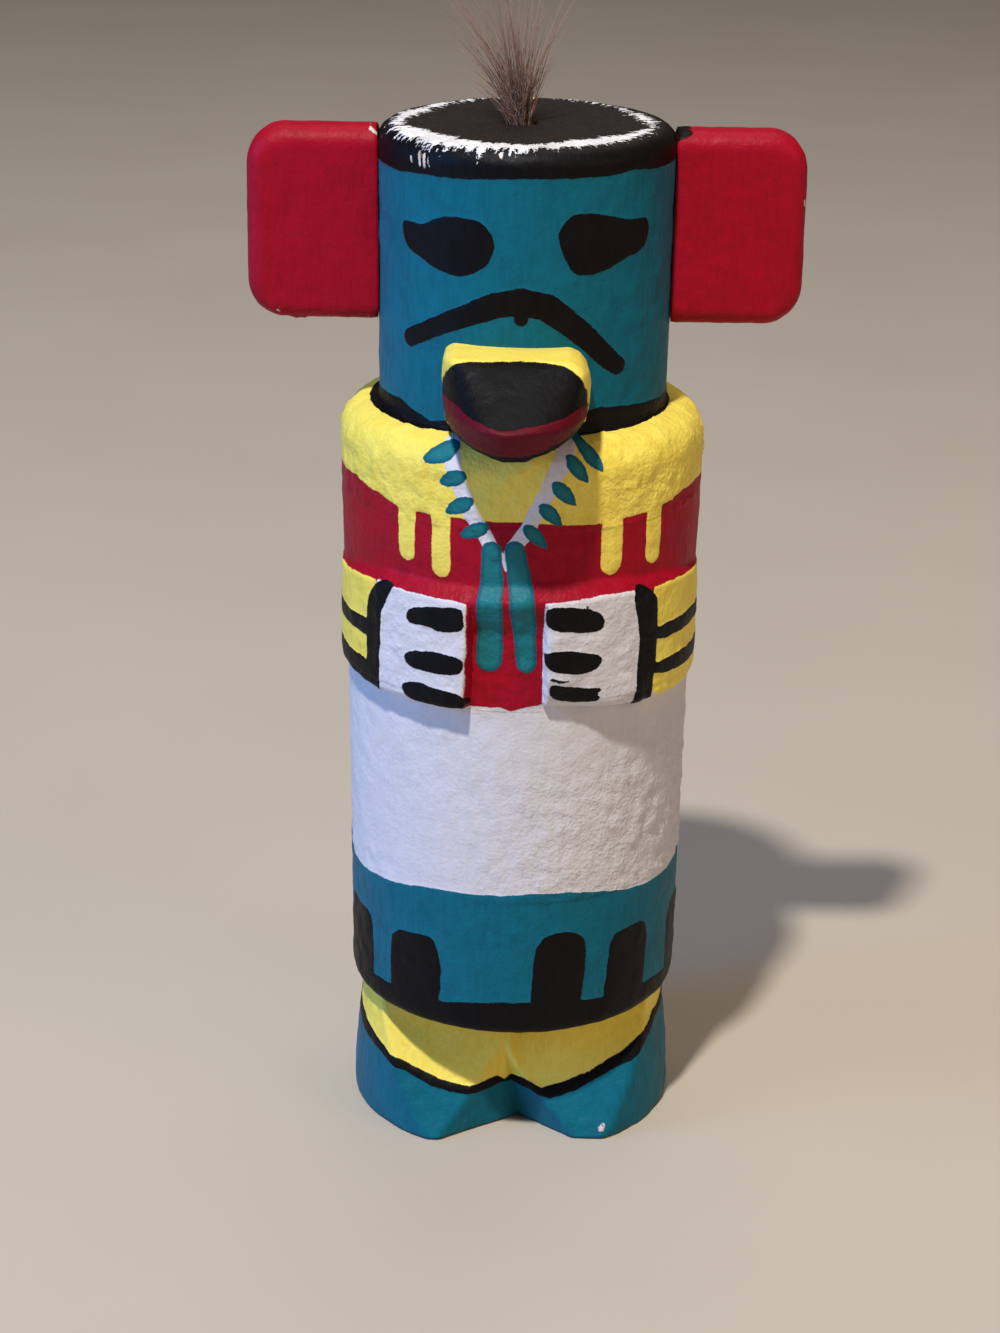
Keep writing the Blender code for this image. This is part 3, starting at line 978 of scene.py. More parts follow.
class GeometryBench(Bench):
    """The nodes of one geometry tree, with named inputs."""

    def __init__(self, name: str, inputs: dict[str, float]) -> None:
        """Make the tree with a geometry input and one number input for each name.

        Args:
            name: The tree's name.
            inputs: Each input's name and first value.
        """
        tree = bpy.data.node_groups.new(name, "GeometryNodeTree")
        tree.interface.new_socket("Geometry", in_out="INPUT", socket_type="NodeSocketGeometry")
        tree.interface.new_socket("Geometry", in_out="OUTPUT", socket_type="NodeSocketGeometry")
        for label, value in inputs.items():
            kind = "NodeSocketInt" if isinstance(value, int) else "NodeSocketFloat"
            socket = tree.interface.new_socket(label, in_out="INPUT", socket_type=kind)
            socket.default_value = value
        super().__init__(tree)
        self.given = self.add("NodeGroupInput")

    def named(self, name: str) -> Socket:
        """A number stored on the geometry."""
        return self.output("GeometryNodeInputNamedAttribute", {"Name": name}, data_type="FLOAT")

    def store(self, geometry: Socket, name: str, value: Socket) -> Socket:
        """Store a number on each of the geometry's points."""
        feeds = {"Geometry": geometry, "Name": name, "Value": value}
        return self.output("GeometryNodeStoreNamedAttribute", feeds, data_type="FLOAT", domain="POINT")

    def move(self, geometry: Socket, way: str, where: Socket) -> Socket:
        """Move the geometry's points by an "Offset", or to a "Position"."""
        return self.output("GeometryNodeSetPosition", {"Geometry": geometry, way: where})

    def end(self, geometry: Socket, material: bpy.types.Material) -> None:
        """End the tree in real geometry with its material.

        Args:
            geometry: The geometry so far.
            material: The finish that it takes.
        """
        real = self.output("GeometryNodeRealizeInstances", {"Geometry": geometry})
        dressed = self.output("GeometryNodeSetMaterial", {"Geometry": real, "Material": material})
        self.feed(self.add("NodeGroupOutput").inputs[0], dressed)

    def apply(self, obj: bpy.types.Object, sizes: dict[str, float]) -> None:
        """Run the tree on an object and keep the result as its plain mesh.

        Args:
            obj: The object that takes the tree.
            sizes: Values for the tree's inputs, by name.
        """
        modifier = obj.modifiers.new(self.tree.name, "NODES")
        modifier.node_group = self.tree
        for item in self.tree.interface.items_tree:
            if item.name in sizes:
                modifier[item.identifier] = sizes[item.name]
        graph = bpy.context.evaluated_depsgraph_get()
        mesh = bpy.data.meshes.new_from_object(obj.evaluated_get(graph))
        obj.modifiers.remove(modifier)
        old = obj.data
        obj.data = mesh
        bpy.data.meshes.remove(old)
        mesh.name = obj.name


@dataclass(frozen=True)
class CarvedGround:
    """The lumpy ground under the paint and the thickness of each coat, made as real relief."""

    name: str
    coats: tuple[Coat, ...]
    lump_size: float = 5.0
    lump_height: float = 0.28
    grain_size: float = 2.5
    grain_height: float = 0.3
    crease_size: float = 5.2
    crease_height: float = 0.24
    coat_thickness: float = 0.10
    edge_wander: float = 0.55
    seed: float = 3.0
    wandering: Swell = Swell(0.42)
    lumps: Swell = Swell(1.0, 1.0, 0.4)
    folds: Swell = Swell(1.0, 2.5, 0.55)
    coat_edge: Point = (-0.25, 0.35)
    fold_width: Point = (0.0, 0.055)
    folded_lumps: Point = (0.42, 0.58)
    folded_ground: Point = (0.8, 1.8)
    patch_scale: float = 0.35
    patch_edge: Point = (0.4, 0.6)
    patch_grain: Point = (0.45, 1.35)

    def dress(self, obj: bpy.types.Object, material: bpy.types.Material) -> None:
        """Carve the ground and the coats into an object's mesh.

        Args:
            obj: The piece.
            material: The finish that it takes.
        """
        sizes = {
            "Lump Size": self.lump_size,
            "Lump Height": self.lump_height,
            "Grain Size": self.grain_size,
            "Grain Height": self.grain_height,
            "Crease Size": self.crease_size,
            "Crease Height": self.crease_height,
            "Coat Thickness": self.coat_thickness,
            "Edge Wander": self.edge_wander,
            "Seed": self.seed,
        }
        bench = GeometryBench(self.name, sizes)
        given = bench.given.outputs
        place = bench.vector("SCALE", bench.output("GeometryNodeInputPosition", {}), 1 / MM)
        place = bench.vector("ADD", place, given["Seed"])
        geometry = given["Geometry"]
        wavy = bench.noise(place, self.wandering)
        wander = bench.times(bench.less(wavy, 0.5), given["Edge Wander"])
        layers: object = 0.0
        for coat in self.coats:
            geometry = bench.store(geometry, coat.value, bench.plus(bench.named(coat.value), wander))
            layers = bench.plus(layers, bench.step(bench.named(coat.value), *self.coat_edge))
        rough = bench.named("rough_ground")
        lumps = bench.noise(place, self.lumps, bench.reckon("DIVIDE", 1.0, given["Lump Size"]))
        grain = bench.noise(place, self.lumps, bench.reckon("DIVIDE", 1.0, given["Grain Size"]))
        folded = bench.noise(place, self.folds, bench.reckon("DIVIDE", 1.0, given["Crease Size"]))
        away = bench.reckon("ABSOLUTE", bench.less(folded, 0.5))
        crease = bench.times(bench.step(away, *self.fold_width, 1.0, 0.0), given["Crease Height"])
        patchy = bench.times(
            bench.step(lumps, *self.folded_lumps), bench.step(rough, *self.folded_ground)
        )
        crease = bench.times(crease, patchy)
        lump = bench.times(bench.less(lumps, 0.5), given["Lump Height"])
        coarse_size = bench.reckon("DIVIDE", self.patch_scale, given["Lump Size"])
        coarse = bench.noise(place, self.lumps, coarse_size)
        uneven = bench.times(rough, bench.step(coarse, *self.patch_edge, *self.patch_grain))
        fine = bench.times(bench.times(bench.less(grain, 0.5), given["Grain Height"]), uneven)
        skin = bench.times(layers, given["Coat Thickness"])
        height = bench.plus(bench.plus(lump, fine), bench.plus(skin, crease))
        height = bench.times(bench.times(height, bench.named("loose")), MM)
        offset = bench.vector("SCALE", bench.output("GeometryNodeInputNormal", {}), height)
        bench.end(bench.move(geometry, "Offset", offset), material)
        bench.apply(obj, sizes)


def make_mesh(name: str, points: np.ndarray, faces: Faces) -> bpy.types.Object:
    """Make an object from points in millimetres and faces that point outwards.

    Args:
        name: The piece's name.
        points: One row of X, Y and Z for each point.
        faces: The corners of each face.

    Returns:
        The smooth-shaded object, linked to the scene.
    """
    mesh = bpy.data.meshes.new(name)
    mesh.from_pydata((points * MM).tolist(), [], faces)
    mesh.shade_smooth()
    mesh.update()
    obj = bpy.data.objects.new(name, mesh)
    bpy.context.scene.collection.objects.link(obj)
    return obj


def store_values(obj: bpy.types.Object, name: str, values: np.ndarray) -> None:
    """Store one number, or one vector, for each of a mesh's points.

    Args:
        obj: The piece.
        name: What the values are called.
        values: The numbers, or rows of three.
    """
    kind, label = ("FLOAT_VECTOR", "vector") if values.ndim == 2 else ("FLOAT", "value")
    attribute = obj.data.attributes.new(name, kind, "POINT")
    attribute.data.foreach_set(label, values.astype(np.float32).ravel())


def ring_faces(rows: int, columns: int) -> Faces:
    """Faces of a closed skin made of rings, shut with a point before the first and after the last.

    Args:
        rows: How many rings there are.
        columns: How many points each ring has.

    Returns:
        The faces. The two shutting points come after all the rings.
    """
    faces: Faces = []
    first = rows * columns
    for column in range(columns):
        after = (column + 1) % columns
        faces.append((first, column, after))
        for row in range(rows - 1):
            here = row * columns
            below = here + columns
            faces.append((here + column, below + column, below + after, here + after))
        last = (rows - 1) * columns
        faces.append((first + 1, last + after, last + column))
    return faces


def spaced(start: float, stop: float, step: float) -> list[float]:
    """Even values from start up to but without stop, about one step apart."""
    count = max(1, round(abs(stop - start) / step))
    return [start + (stop - start) * index / count for index in range(count)]


def rounded(centre: Point, rounding: float, first: float, last: float, step: float) -> list[Place]:
    """The rows round a rounded edge.

    Args:
        centre: The radius and height of the rounding's centre.
        rounding: The rounding's own radius.
        first: Its first angle above level, in degrees.
        last: The angle that it stops short of.
        step: About how many degrees lie between rows.

    Returns:
        Each row's radius, its height, and its angle in radians.
    """
    rows = []
    for angle in spaced(first, last, step):
        turned = math.radians(angle)
        radius = centre[0] + rounding * math.cos(turned)
        rows.append((radius, centre[1] + rounding * math.sin(turned), turned))
    return rows


EYE: Place = (-3.2, -494.7, 274.3)
Station = tuple[Cut, float, float, float]


@dataclass
class CarvedFigure:
    """Head, shoulders, arms, kilt and feet, carved from one piece of wood and painted.

    A turn is an angle round from the front, in radians, positive towards +X. A pair of numbers
    says where a smooth step begins and ends.
    """

    height: float = 180.0
    body_radius: float = 31.1
    neck_radius: float = 24.6
    crown_radius: float = 25.0
    rim_rounding: float = 2.9
    shoulder: float = 132.7
    shoulder_rounding: float = 5.3
    chest: float = 114.0
    waist: float = 86.5
    waist_radius: float = 30.2
    hem: float = 24.0
    hem_radius: float = 29.3
    hem_rounding: float = 2.1
    arm_radius: float = 31.0
    arm_forward: float = 2.3
    left_arm_trim: float = 0.1
    left_arm_turn: Point = (0.7, 1.3)
    hand_sink: float = 1.7
    sunk_turn: Point = (0.06, 0.28)
    sunk_height: float = 6.0
    arm_head: float = 106.8
    arm_rounding: float = 1.4
    cove_top: float = 110.4
    cove_depth: float = 2.9
    cove_above: float = 2.0
    arm_edge: float = 0.15
    gap_turn: float = 0.2
    gap_edge: float = 0.28
    gap_top: Point = (-7.0, 1.0)
    ankle_radius: float = 27.0
    foot_draw: float = 2.0
    instep_slope: float = 0.505
    toes: tuple[float, float] = (25.0, 23.8)
    notch: tuple[float, float] = (1.5, -14.9)
    notch_lean: tuple[float, float] = (-0.185, -0.134)
    notch_walls: tuple[Point, Point] = ((-14.9, -10.1), (10.2, -8.9))
    toe_turn: Point = (-0.10, 0.02)
    instep_blend: float = 0.4
    notch_blend: float = 0.35
    sole_rounding: float = 0.7
    nearly_aside: float = 0.05
    socket_radius: float = 2.6
    socket_depth: float = 5.0
    socket_x: float = -1.0
    gap_edges: tuple[Line, Line] = (
        ((86.0, -8.8), (107.0, -8.1)),
        ((86.0, 4.5), (107.0, 4.3)),
    )
    arm_foot_line: Line = (
        (-60.0, 86.9), (-39.0, 86.9), (-25.0, 86.4), (-8.4, 86.6), (4.8, 87.4), (13.6, 87.1),
        (19.7, 86.3), (32.2, 85.6), (60.0, 85.2),
    )
    arm_head_line: Line = (
        (-60.0, 103.9), (-39.7, 104.5), (-32.3, 105.7), (-24.6, 106.3), (-8.0, 105.9),
        (3.9, 106.6), (14.3, 106.9), (19.4, 106.5), (28.9, 106.4), (37.1, 105.3), (60.0, 104.2),
    )
    coats: tuple[Coat, ...] = tuple(coat for coat in Coat if coat is not Coat.SHADED_LIP)
    turn_count: int = 20001
    front_turn: float = 1.50
    front_step: float = 0.53
    back_step: float = 1.6
    gap_columns: Point = (-8.4, 4.4)
    gap_step: float = 0.13
    gap_near: Point = (0.5, 1.6)
    gap_widening: float = 1.5
    leg_under_hem: float = 26.0
    arm_foot_overlap: float = 0.3
    full_depth: float = 3.0
    brush_radius: float = 24.0
    brush_length: float = 0.16
    # Heights up the rim from which the painted highlight on the crown's top begins.
    highlight_from: Point = (179.5, 182.0)
    still_sole: float = 0.4
    still_socket: float = 3.0
    neck_band_reach: float = 25.3
    neck_band_wider: float = 1.1
    neck_band_turn: Point = (0.3, 0.7)
    neck_ledge: Point = (-3.0, 0.2)
    shirt_edge: float = 0.9
    head_rough: float = 0.6
    cape_rough: Point = (1.5, 0.4)
    cape_span: Point = (118.0, 133.5)
    cape_turn: Point = (-0.3, 0.8)
    hand_rough: float = 1.3
    hand_span: Point = (86.0, 108.0)
    hand_turn: float = 0.85
    kilt_rough: Point = (0.8, 1.2)
    kilt_span: Point = (50.0, 86.0)
    kilt_turn: Point = (-0.5, 0.7)
    kilt_low: Point = (66.0, 84.0)
    plain_rough: float = 0.9

    def columns(self) -> np.ndarray:
        """Angles round the figure, closest in front and at the edges of the hand gap.

        Returns:
            The angles, in order from the middle of the back.
        """
        fine = np.linspace(-math.pi, math.pi, self.turn_count)
        step = np.where(np.abs(fine) < self.front_turn, self.front_step, self.back_step)
        for edge in self.gap_columns:
            away = np.abs(fine * self.body_radius - edge)
            step = np.minimum(step, self.gap_step + smooth(away, *self.gap_near) * self.gap_widening)
        passed = np.cumsum(self.body_radius / step)
        passed = (passed - passed[0]) / (passed[-1] - passed[0])
        count = int(np.sum(self.body_radius / step) * (fine[1] - fine[0]))
        return np.interp(np.arange(count) / count, passed, fine)

    def stations(self) -> list[Station]:
        """The rows from the socket's floor out over the crown and down to the middle of the sole.

        Returns:
            For each row the surface that it lies on, its radius or share, its height, and its track,
            which is the height up the wall and goes on over the rim.
        """
        return [*self.crown_rows(), *self.wall_rows(), *self.foot_rows()]

    def crown_rows(self) -> list[Station]:
        """The rows of the socket and the crown, as far as the rim's rounding.

        Returns:
            The rows.
        """
        floor = self.height - self.socket_depth
        rim = self.crown_radius - self.rim_rounding
        edge = self.height - self.rim_rounding + self.rim_rounding * math.pi / 2
        wall = edge + rim - self.socket_radius
        rows = [(Cut.CROWN, radius, floor, wall) for radius in spaced(0.6, self.socket_radius, 1.0)]
        rows += [(Cut.CROWN, self.socket_radius, height, wall) for height in spaced(floor, self.height, 0.9)]
        for start, stop, step in ((2.7, 3.4, 0.25), (3.4, 15.5, 1.0), (15.5, rim, 0.6)):
            for radius in spaced(start, stop, step):
                rows.append((Cut.CROWN, radius, self.height, edge + rim - radius))
        return rows

    def wall_rows(self) -> list[Station]:
        """The rows of the rim, head, shoulders and body, down to the hem's rounding.

        Returns:
            The rows.
        """
        rows: list[Station] = []
        rim = self.crown_radius - self.rim_rounding
        rim_foot = self.height - self.rim_rounding
        for radius, height, turned in rounded((rim, rim_foot), self.rim_rounding, 90.0, 0.0, 10.0):
            rows.append((Cut.WALL, radius, height, rim_foot + self.rim_rounding * turned))
        for height in spaced(rim_foot, self.shoulder + 0.3, 0.56):
            share = (height - self.shoulder) / (rim_foot - self.shoulder)
            radius = self.neck_radius + share * (self.crown_radius - self.neck_radius)
            rows.append((Cut.WALL, radius, height, height))
        round_radius = self.body_radius - self.shoulder_rounding
        round_height = self.shoulder - self.shoulder_rounding
        for radius in spaced(self.neck_radius + 0.2, round_radius, 0.5):
            rows.append((Cut.WALL, radius, self.shoulder, self.shoulder))
        centre = (round_radius, round_height)
        for radius, height, _ in rounded(centre, self.shoulder_rounding, 90.0, 0.0, 7.5):
            rows.append((Cut.WALL, radius, height, height))
        # Where each stretch of wall begins and ends, and about how far apart its rows are.
        spans = (
            (round_height, self.chest, 0.50),
            (self.chest, 104.0, 0.45),
            (104.0, 89.0, 0.46),
            (89.0, 85.4, 0.25),
            (85.4, 53.5, 0.85),
            (53.5, 47.5, 0.55),
            (47.5, self.hem + self.hem_rounding, 0.62),
        )
        for start, stop, step in spans:
            for height in spaced(start, stop, step):
                rows.append((Cut.WALL, self.body_at(height), height, height))
        centre = (self.hem_radius - self.hem_rounding, self.hem + self.hem_rounding)
        for radius, height, _ in rounded(centre, self.hem_rounding, 0.0, -90.0, 13.0):
            rows.append((Cut.WALL, radius, height, height))
        return rows

    def foot_rows(self) -> list[Station]:
        """The rows under the hem, down the legs and in over the sole.

        Returns:
            The rows. Under the hem and on the sole they hold a share in place of a radius.
        """
        rows = [(Cut.UNDER_HEM, share, self.hem, self.hem) for share in spaced(0.0, 1.0, 0.08)]
        for height in spaced(self.hem, 0.9, 0.55) + spaced(0.9, 0.0, 0.2):
            rows.append((Cut.LEG, 0.0, height, height))
        for share in (1.0, 0.92, 0.8, 0.6, 0.4, 0.2, 0.05):
            rows.append((Cut.SOLE, share, 0.0, 0.0))
        return rows

    def body_at(self, height: float) -> float:
        """The turned body's radius.

        Args:
            height: A height between the hem and the shoulder.

        Returns:
            The radius there.
        """
        heights = [self.hem, self.waist, self.chest, self.shoulder]
        radii = [self.hem_radius, self.waist_radius, self.body_radius, self.body_radius]
        return float(np.interp(height, heights, radii))

    def with_arms(self, radius: np.ndarray, turn: np.ndarray, height: np.ndarray) -> np.ndarray:
        """Raise the arms from the body, with the gap between the hands.

        Args:
            radius: The turned body's radius.
            turn: Angles round the figure.
            height: Heights of the points.

        Returns:
            The radius with the arms.
        """
        across = turn * ARM_ZONE.radius
        foot = along(self.arm_foot_line, across)
        head = along(self.arm_head_line, across)
        level = self.waist + (height - foot) * (self.arm_head - self.waist) / (head - foot)
        above = np.clip(level - self.waist, 0.0, self.arm_rounding)
        corner = self.arm_rounding - np.sqrt(self.arm_rounding**2 - (self.arm_rounding - above) ** 2)
        cove = np.clip((level - self.arm_head) / (self.cove_top - self.arm_head), 0.0, 1.0)
        reach = self.arm_radius - corner - self.cove_depth * cove
        reach = reach - self.left_arm_trim * smooth(turn, *self.left_arm_turn)
        by_gap = 1 - smooth(np.abs(turn - self.gap_turn), *self.sunk_turn)
        low = 1 - smooth(level, self.waist, self.waist + self.sunk_height)
        reach = reach - self.hand_sink * by_gap * low
        forward = self.arm_forward * np.cos(turn)
        arm = forward + np.sqrt(reach**2 - self.arm_forward**2 + forward**2)
        shown = smooth(level, self.waist - self.arm_edge, self.waist + self.arm_edge)
        shown = shown * (level < self.cove_top + self.cove_above)
        right_edge, left_edge = (along(edge, height) for edge in self.gap_edges)
        outside = smooth(right_edge - across, -self.gap_edge, self.gap_edge)
        outside = outside + smooth(across - left_edge, -self.gap_edge, self.gap_edge)
        over_gap = smooth(level - self.arm_head, *self.gap_top)
        outside = np.maximum(np.clip(outside, 0.0, 1.0), over_gap)
        return radius + np.maximum(arm - radius, 0.0) * shown * outside

    def leg_at(self, turn: np.ndarray, height: np.ndarray) -> np.ndarray:
        """The legs' radius, cut back by the insteps and parted by the notch.

        Args:
            turn: Angles round the figure.
            height: Heights of the points.

        Returns:
            The radius at each point.
        """
        down = np.clip(1 - height / self.hem, 0.0, 1.0)
        radius = self.ankle_radius + self.foot_draw * np.sin(down * math.pi / 2)
        ahead = np.cos(turn)
        right_toe, left_toe = self.toes
        toe = left_toe + (right_toe - left_toe) * smooth(-turn, *self.toe_turn)
        instep = (toe - self.instep_slope * height) / np.maximum(ahead, self.nearly_aside)
        cut_back = soft_least(radius, instep, self.instep_blend)
        radius = np.where(ahead > self.nearly_aside, cut_back, radius)
        apex_x = self.notch[0] + self.notch_lean[0] * height
        apex_y = self.notch[1] + self.notch_lean[1] * height
        reach_x = np.sin(turn)
        reach_y = -np.cos(turn)
        for wall_x, wall_y in self.notch_walls:
            on_side = (turn - np.arctan2(apex_x, -apex_y)) * np.sign(wall_x) > 0
            turned = reach_x * wall_y - reach_y * wall_x
            length = (apex_x * wall_y - apex_y * wall_x) / np.where(np.abs(turned) > 1e-6, turned, 1e-6)
            hit = on_side & (length > 0) & (ahead > 0)
            radius = np.where(hit, soft_least(radius, length, self.notch_blend), radius)
        edge = np.clip(self.sole_rounding - height, 0.0, self.sole_rounding)
        return radius - (self.sole_rounding - np.sqrt(self.sole_rounding**2 - edge**2))

    def build(self) -> bpy.types.Object:
        """Make the figure's closed skin and store its coats on it.

        Returns:
            The figure's object.
        """
        rows = self.stations()
        turn_line = self.columns()
        kinds = [row[0].value for row in rows]
        _, kind = np.meshgrid(turn_line, kinds)
        _, base = np.meshgrid(turn_line, [row[1] for row in rows])
        _, height = np.meshgrid(turn_line, [row[2] for row in rows])
        turn, track = np.meshgrid(turn_line, [row[3] for row in rows])
        radius = np.where(kind == Cut.WALL.value, self.with_arms(base, turn, height), base)
        leg = self.leg_at(turn, height)
        lip = self.hem_radius - self.hem_rounding
        radius = np.where(kind == Cut.UNDER_HEM.value, lip + base * (leg - lip), radius)
        radius = np.where(kind == Cut.LEG.value, leg, radius)
        radius = np.where(kind == Cut.SOLE.value, leg * base, radius)
        shift = self.socket_x * (1 - smooth(radius, 5.0, 18.0)) * (kind == Cut.CROWN.value)
        x = radius * np.sin(turn) + shift
        y = -radius * np.cos(turn)
        ends = np.array([[self.socket_x, 0.0, self.height - self.socket_depth], [0.0, 0.0, 0.0]])
        points = np.concatenate([np.stack([x, y, height], -1).reshape(-1, 3), ends])
        obj = make_mesh("painted_figure", points, ring_faces(len(rows), len(turn_line)))
        log.info("figure: %d rows, %d columns", len(rows), len(turn_line))
        self.store_coats(obj, turn, track, radius, kind)
        return obj

    def store_coats(
        self,
        obj: bpy.types.Object,
        turn: np.ndarray,
        track: np.ndarray,
        radius: np.ndarray,
        kind: np.ndarray,
    ) -> None:
        """Work out each coat's depth at every point and store it.

        Args:
            obj: The figure's object.
            turn: Angles of the points.
            track: Heights that go on over the rim.
            radius: Distances of the points from the axis.
            kind: Which surface each point lies on.
        """
        blank = np.full(turn.shape, -FAR)
        depths = {coat: blank for coat in self.coats}
        for zone in (HEAD_ZONE, TORSO_ZONE, KILT_ZONE):
            zone.lay(depths, turn, track)
        arms = {coat: blank for coat in self.coats}
        ARM_ZONE.lay(arms, turn, track)
        shoes = {coat: blank for coat in self.coats}
        SHOE_ZONE.lay(shoes, turn, track)
        above_foot = track - along(self.arm_foot_line, turn * ARM_ZONE.radius) + self.arm_foot_overlap
        under_hem = (kind == Cut.UNDER_HEM.value) & (radius < self.leg_under_hem)
        on_leg = (kind >= Cut.LEG.value) | under_hem
        for coat in self.coats:
            on_body = np.maximum(depths[coat], np.minimum(arms[coat], above_foot))
            depths[coat] = np.where(on_leg, shoes[coat], on_body)
        self.clear_outside(depths, turn, track, radius)
        edge = self.height - self.rim_rounding + self.rim_rounding * math.pi / 2
        out = edge + self.crown_radius - self.rim_rounding - track
        degrees = np.degrees(turn)
        thick = np.minimum(out - along(RING_INNER, degrees), along(RING_OUTER, degrees) - out)
        depths[Coat.RING] = np.minimum(thick, self.full_depth)
        for coat, depth in depths.items():
            store_values(obj, coat.value, np.append(depth, [-FAR, -FAR]))
        round_x = self.brush_radius * np.sin(turn)
        round_y = -self.brush_radius * np.cos(turn)
        way = np.stack([round_x, round_y, track * self.brush_length], -1).reshape(-1, 3)
        store_values(obj, "brush_way", np.concatenate([way, np.zeros((2, 3))]))
        store_values(obj, "rough_ground", np.append(self.roughness(turn, track), [0.0, 0.0]))
        # Where the painted highlight lies: the whole crown and the top of the rim, kept off the white ring.
        crown = kind == Cut.CROWN.value
        bare = np.clip(depths[Coat.RING] * 2.0, 0.0, 1.0)
        highlight = np.where(crown, 1.0, smooth(track, *self.highlight_from)) * (1 - bare)
        store_values(obj, "crown_top_highlight", np.append(highlight, [0.0, 0.0]))
        still = (track < self.still_sole) | (kind == Cut.SOLE.value)
        still = still | (crown & (radius < self.still_socket))
        store_values(obj, "loose", np.append(np.where(still, 0.0, 1.0), [0.0, 0.0]))

    def clear_outside(
        self, depths: dict[Coat, np.ndarray], turn: np.ndarray, track: np.ndarray, radius: np.ndarray
    ) -> None:
        """Keep the shirt off the head, and end the black neck band near the shoulder's inner corner.

        Args:
            depths: Each coat's depth, which changes here.
            turn: Angles of the points.
            track: Heights of the points.
            radius: Distances of the points from the axis.
        """
        over = track - self.shoulder
        depths[Coat.RED] = np.minimum(depths[Coat.RED], self.shirt_edge - over)
        reach = self.neck_band_reach + self.neck_band_wider * smooth(-turn, *self.neck_band_turn)
        ledge = self.within(over, self.neck_ledge)
        edge = np.minimum(reach - radius, self.full_depth)
        depths[Coat.BLACK] = np.where(ledge, edge, depths[Coat.BLACK])

    def roughness(self, turn: np.ndarray, track: np.ndarray) -> np.ndarray:
        """How coarse the ground is: lumpy on cape, hands and the kilt's right, smoother on the head.

        Args:
            turn: Angles of the points.
            track: Heights of the points.

        Returns:
            The coarseness at each point, about one where it is plain.
        """
        cape_least, cape_more = self.cape_rough
        kilt_least, kilt_more = self.kilt_rough
        cape = cape_least + cape_more * smooth(turn, *self.cape_turn)
        low_right = smooth(turn, *self.kilt_turn) * (1 - smooth(track, *self.kilt_low))
        rough = np.where(track > self.cape_span[1], self.head_rough, self.plain_rough)
        hands = self.within(track, self.hand_span) & (np.abs(turn) < self.hand_turn)
        rough = np.where(self.within(track, self.cape_span), cape, rough)
        rough = np.where(hands, self.hand_rough, rough)
        kilt = kilt_least + kilt_more * low_right
        return np.where(self.within(track, self.kilt_span), kilt, rough)

    def within(self, track: np.ndarray, span: Point) -> np.ndarray:
        """Which heights lie inside a span."""
        return (track > span[0]) & (track < span[1])

    def make(self) -> bpy.types.Object:
        """Build, carve and dress the figure and tie it to the frame.

        Returns:
            The figure's object.
        """
        obj = self.build()
        finish = BrushedPaint("figure_paint", self.coats).material()
        CarvedGround("Carved ground", self.coats).dress(obj, finish)
        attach(obj, BODY)
        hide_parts("carved_figure")
        return obj


SEAT_FOOT = (132.7, 24.9)
SEAT_TOP = (180.0, 25.3)


def seat_radius(height: Number) -> Number:
    """The radius that glued pieces are cut to at each height of the head."""
    return straight(height, SEAT_FOOT, SEAT_TOP)


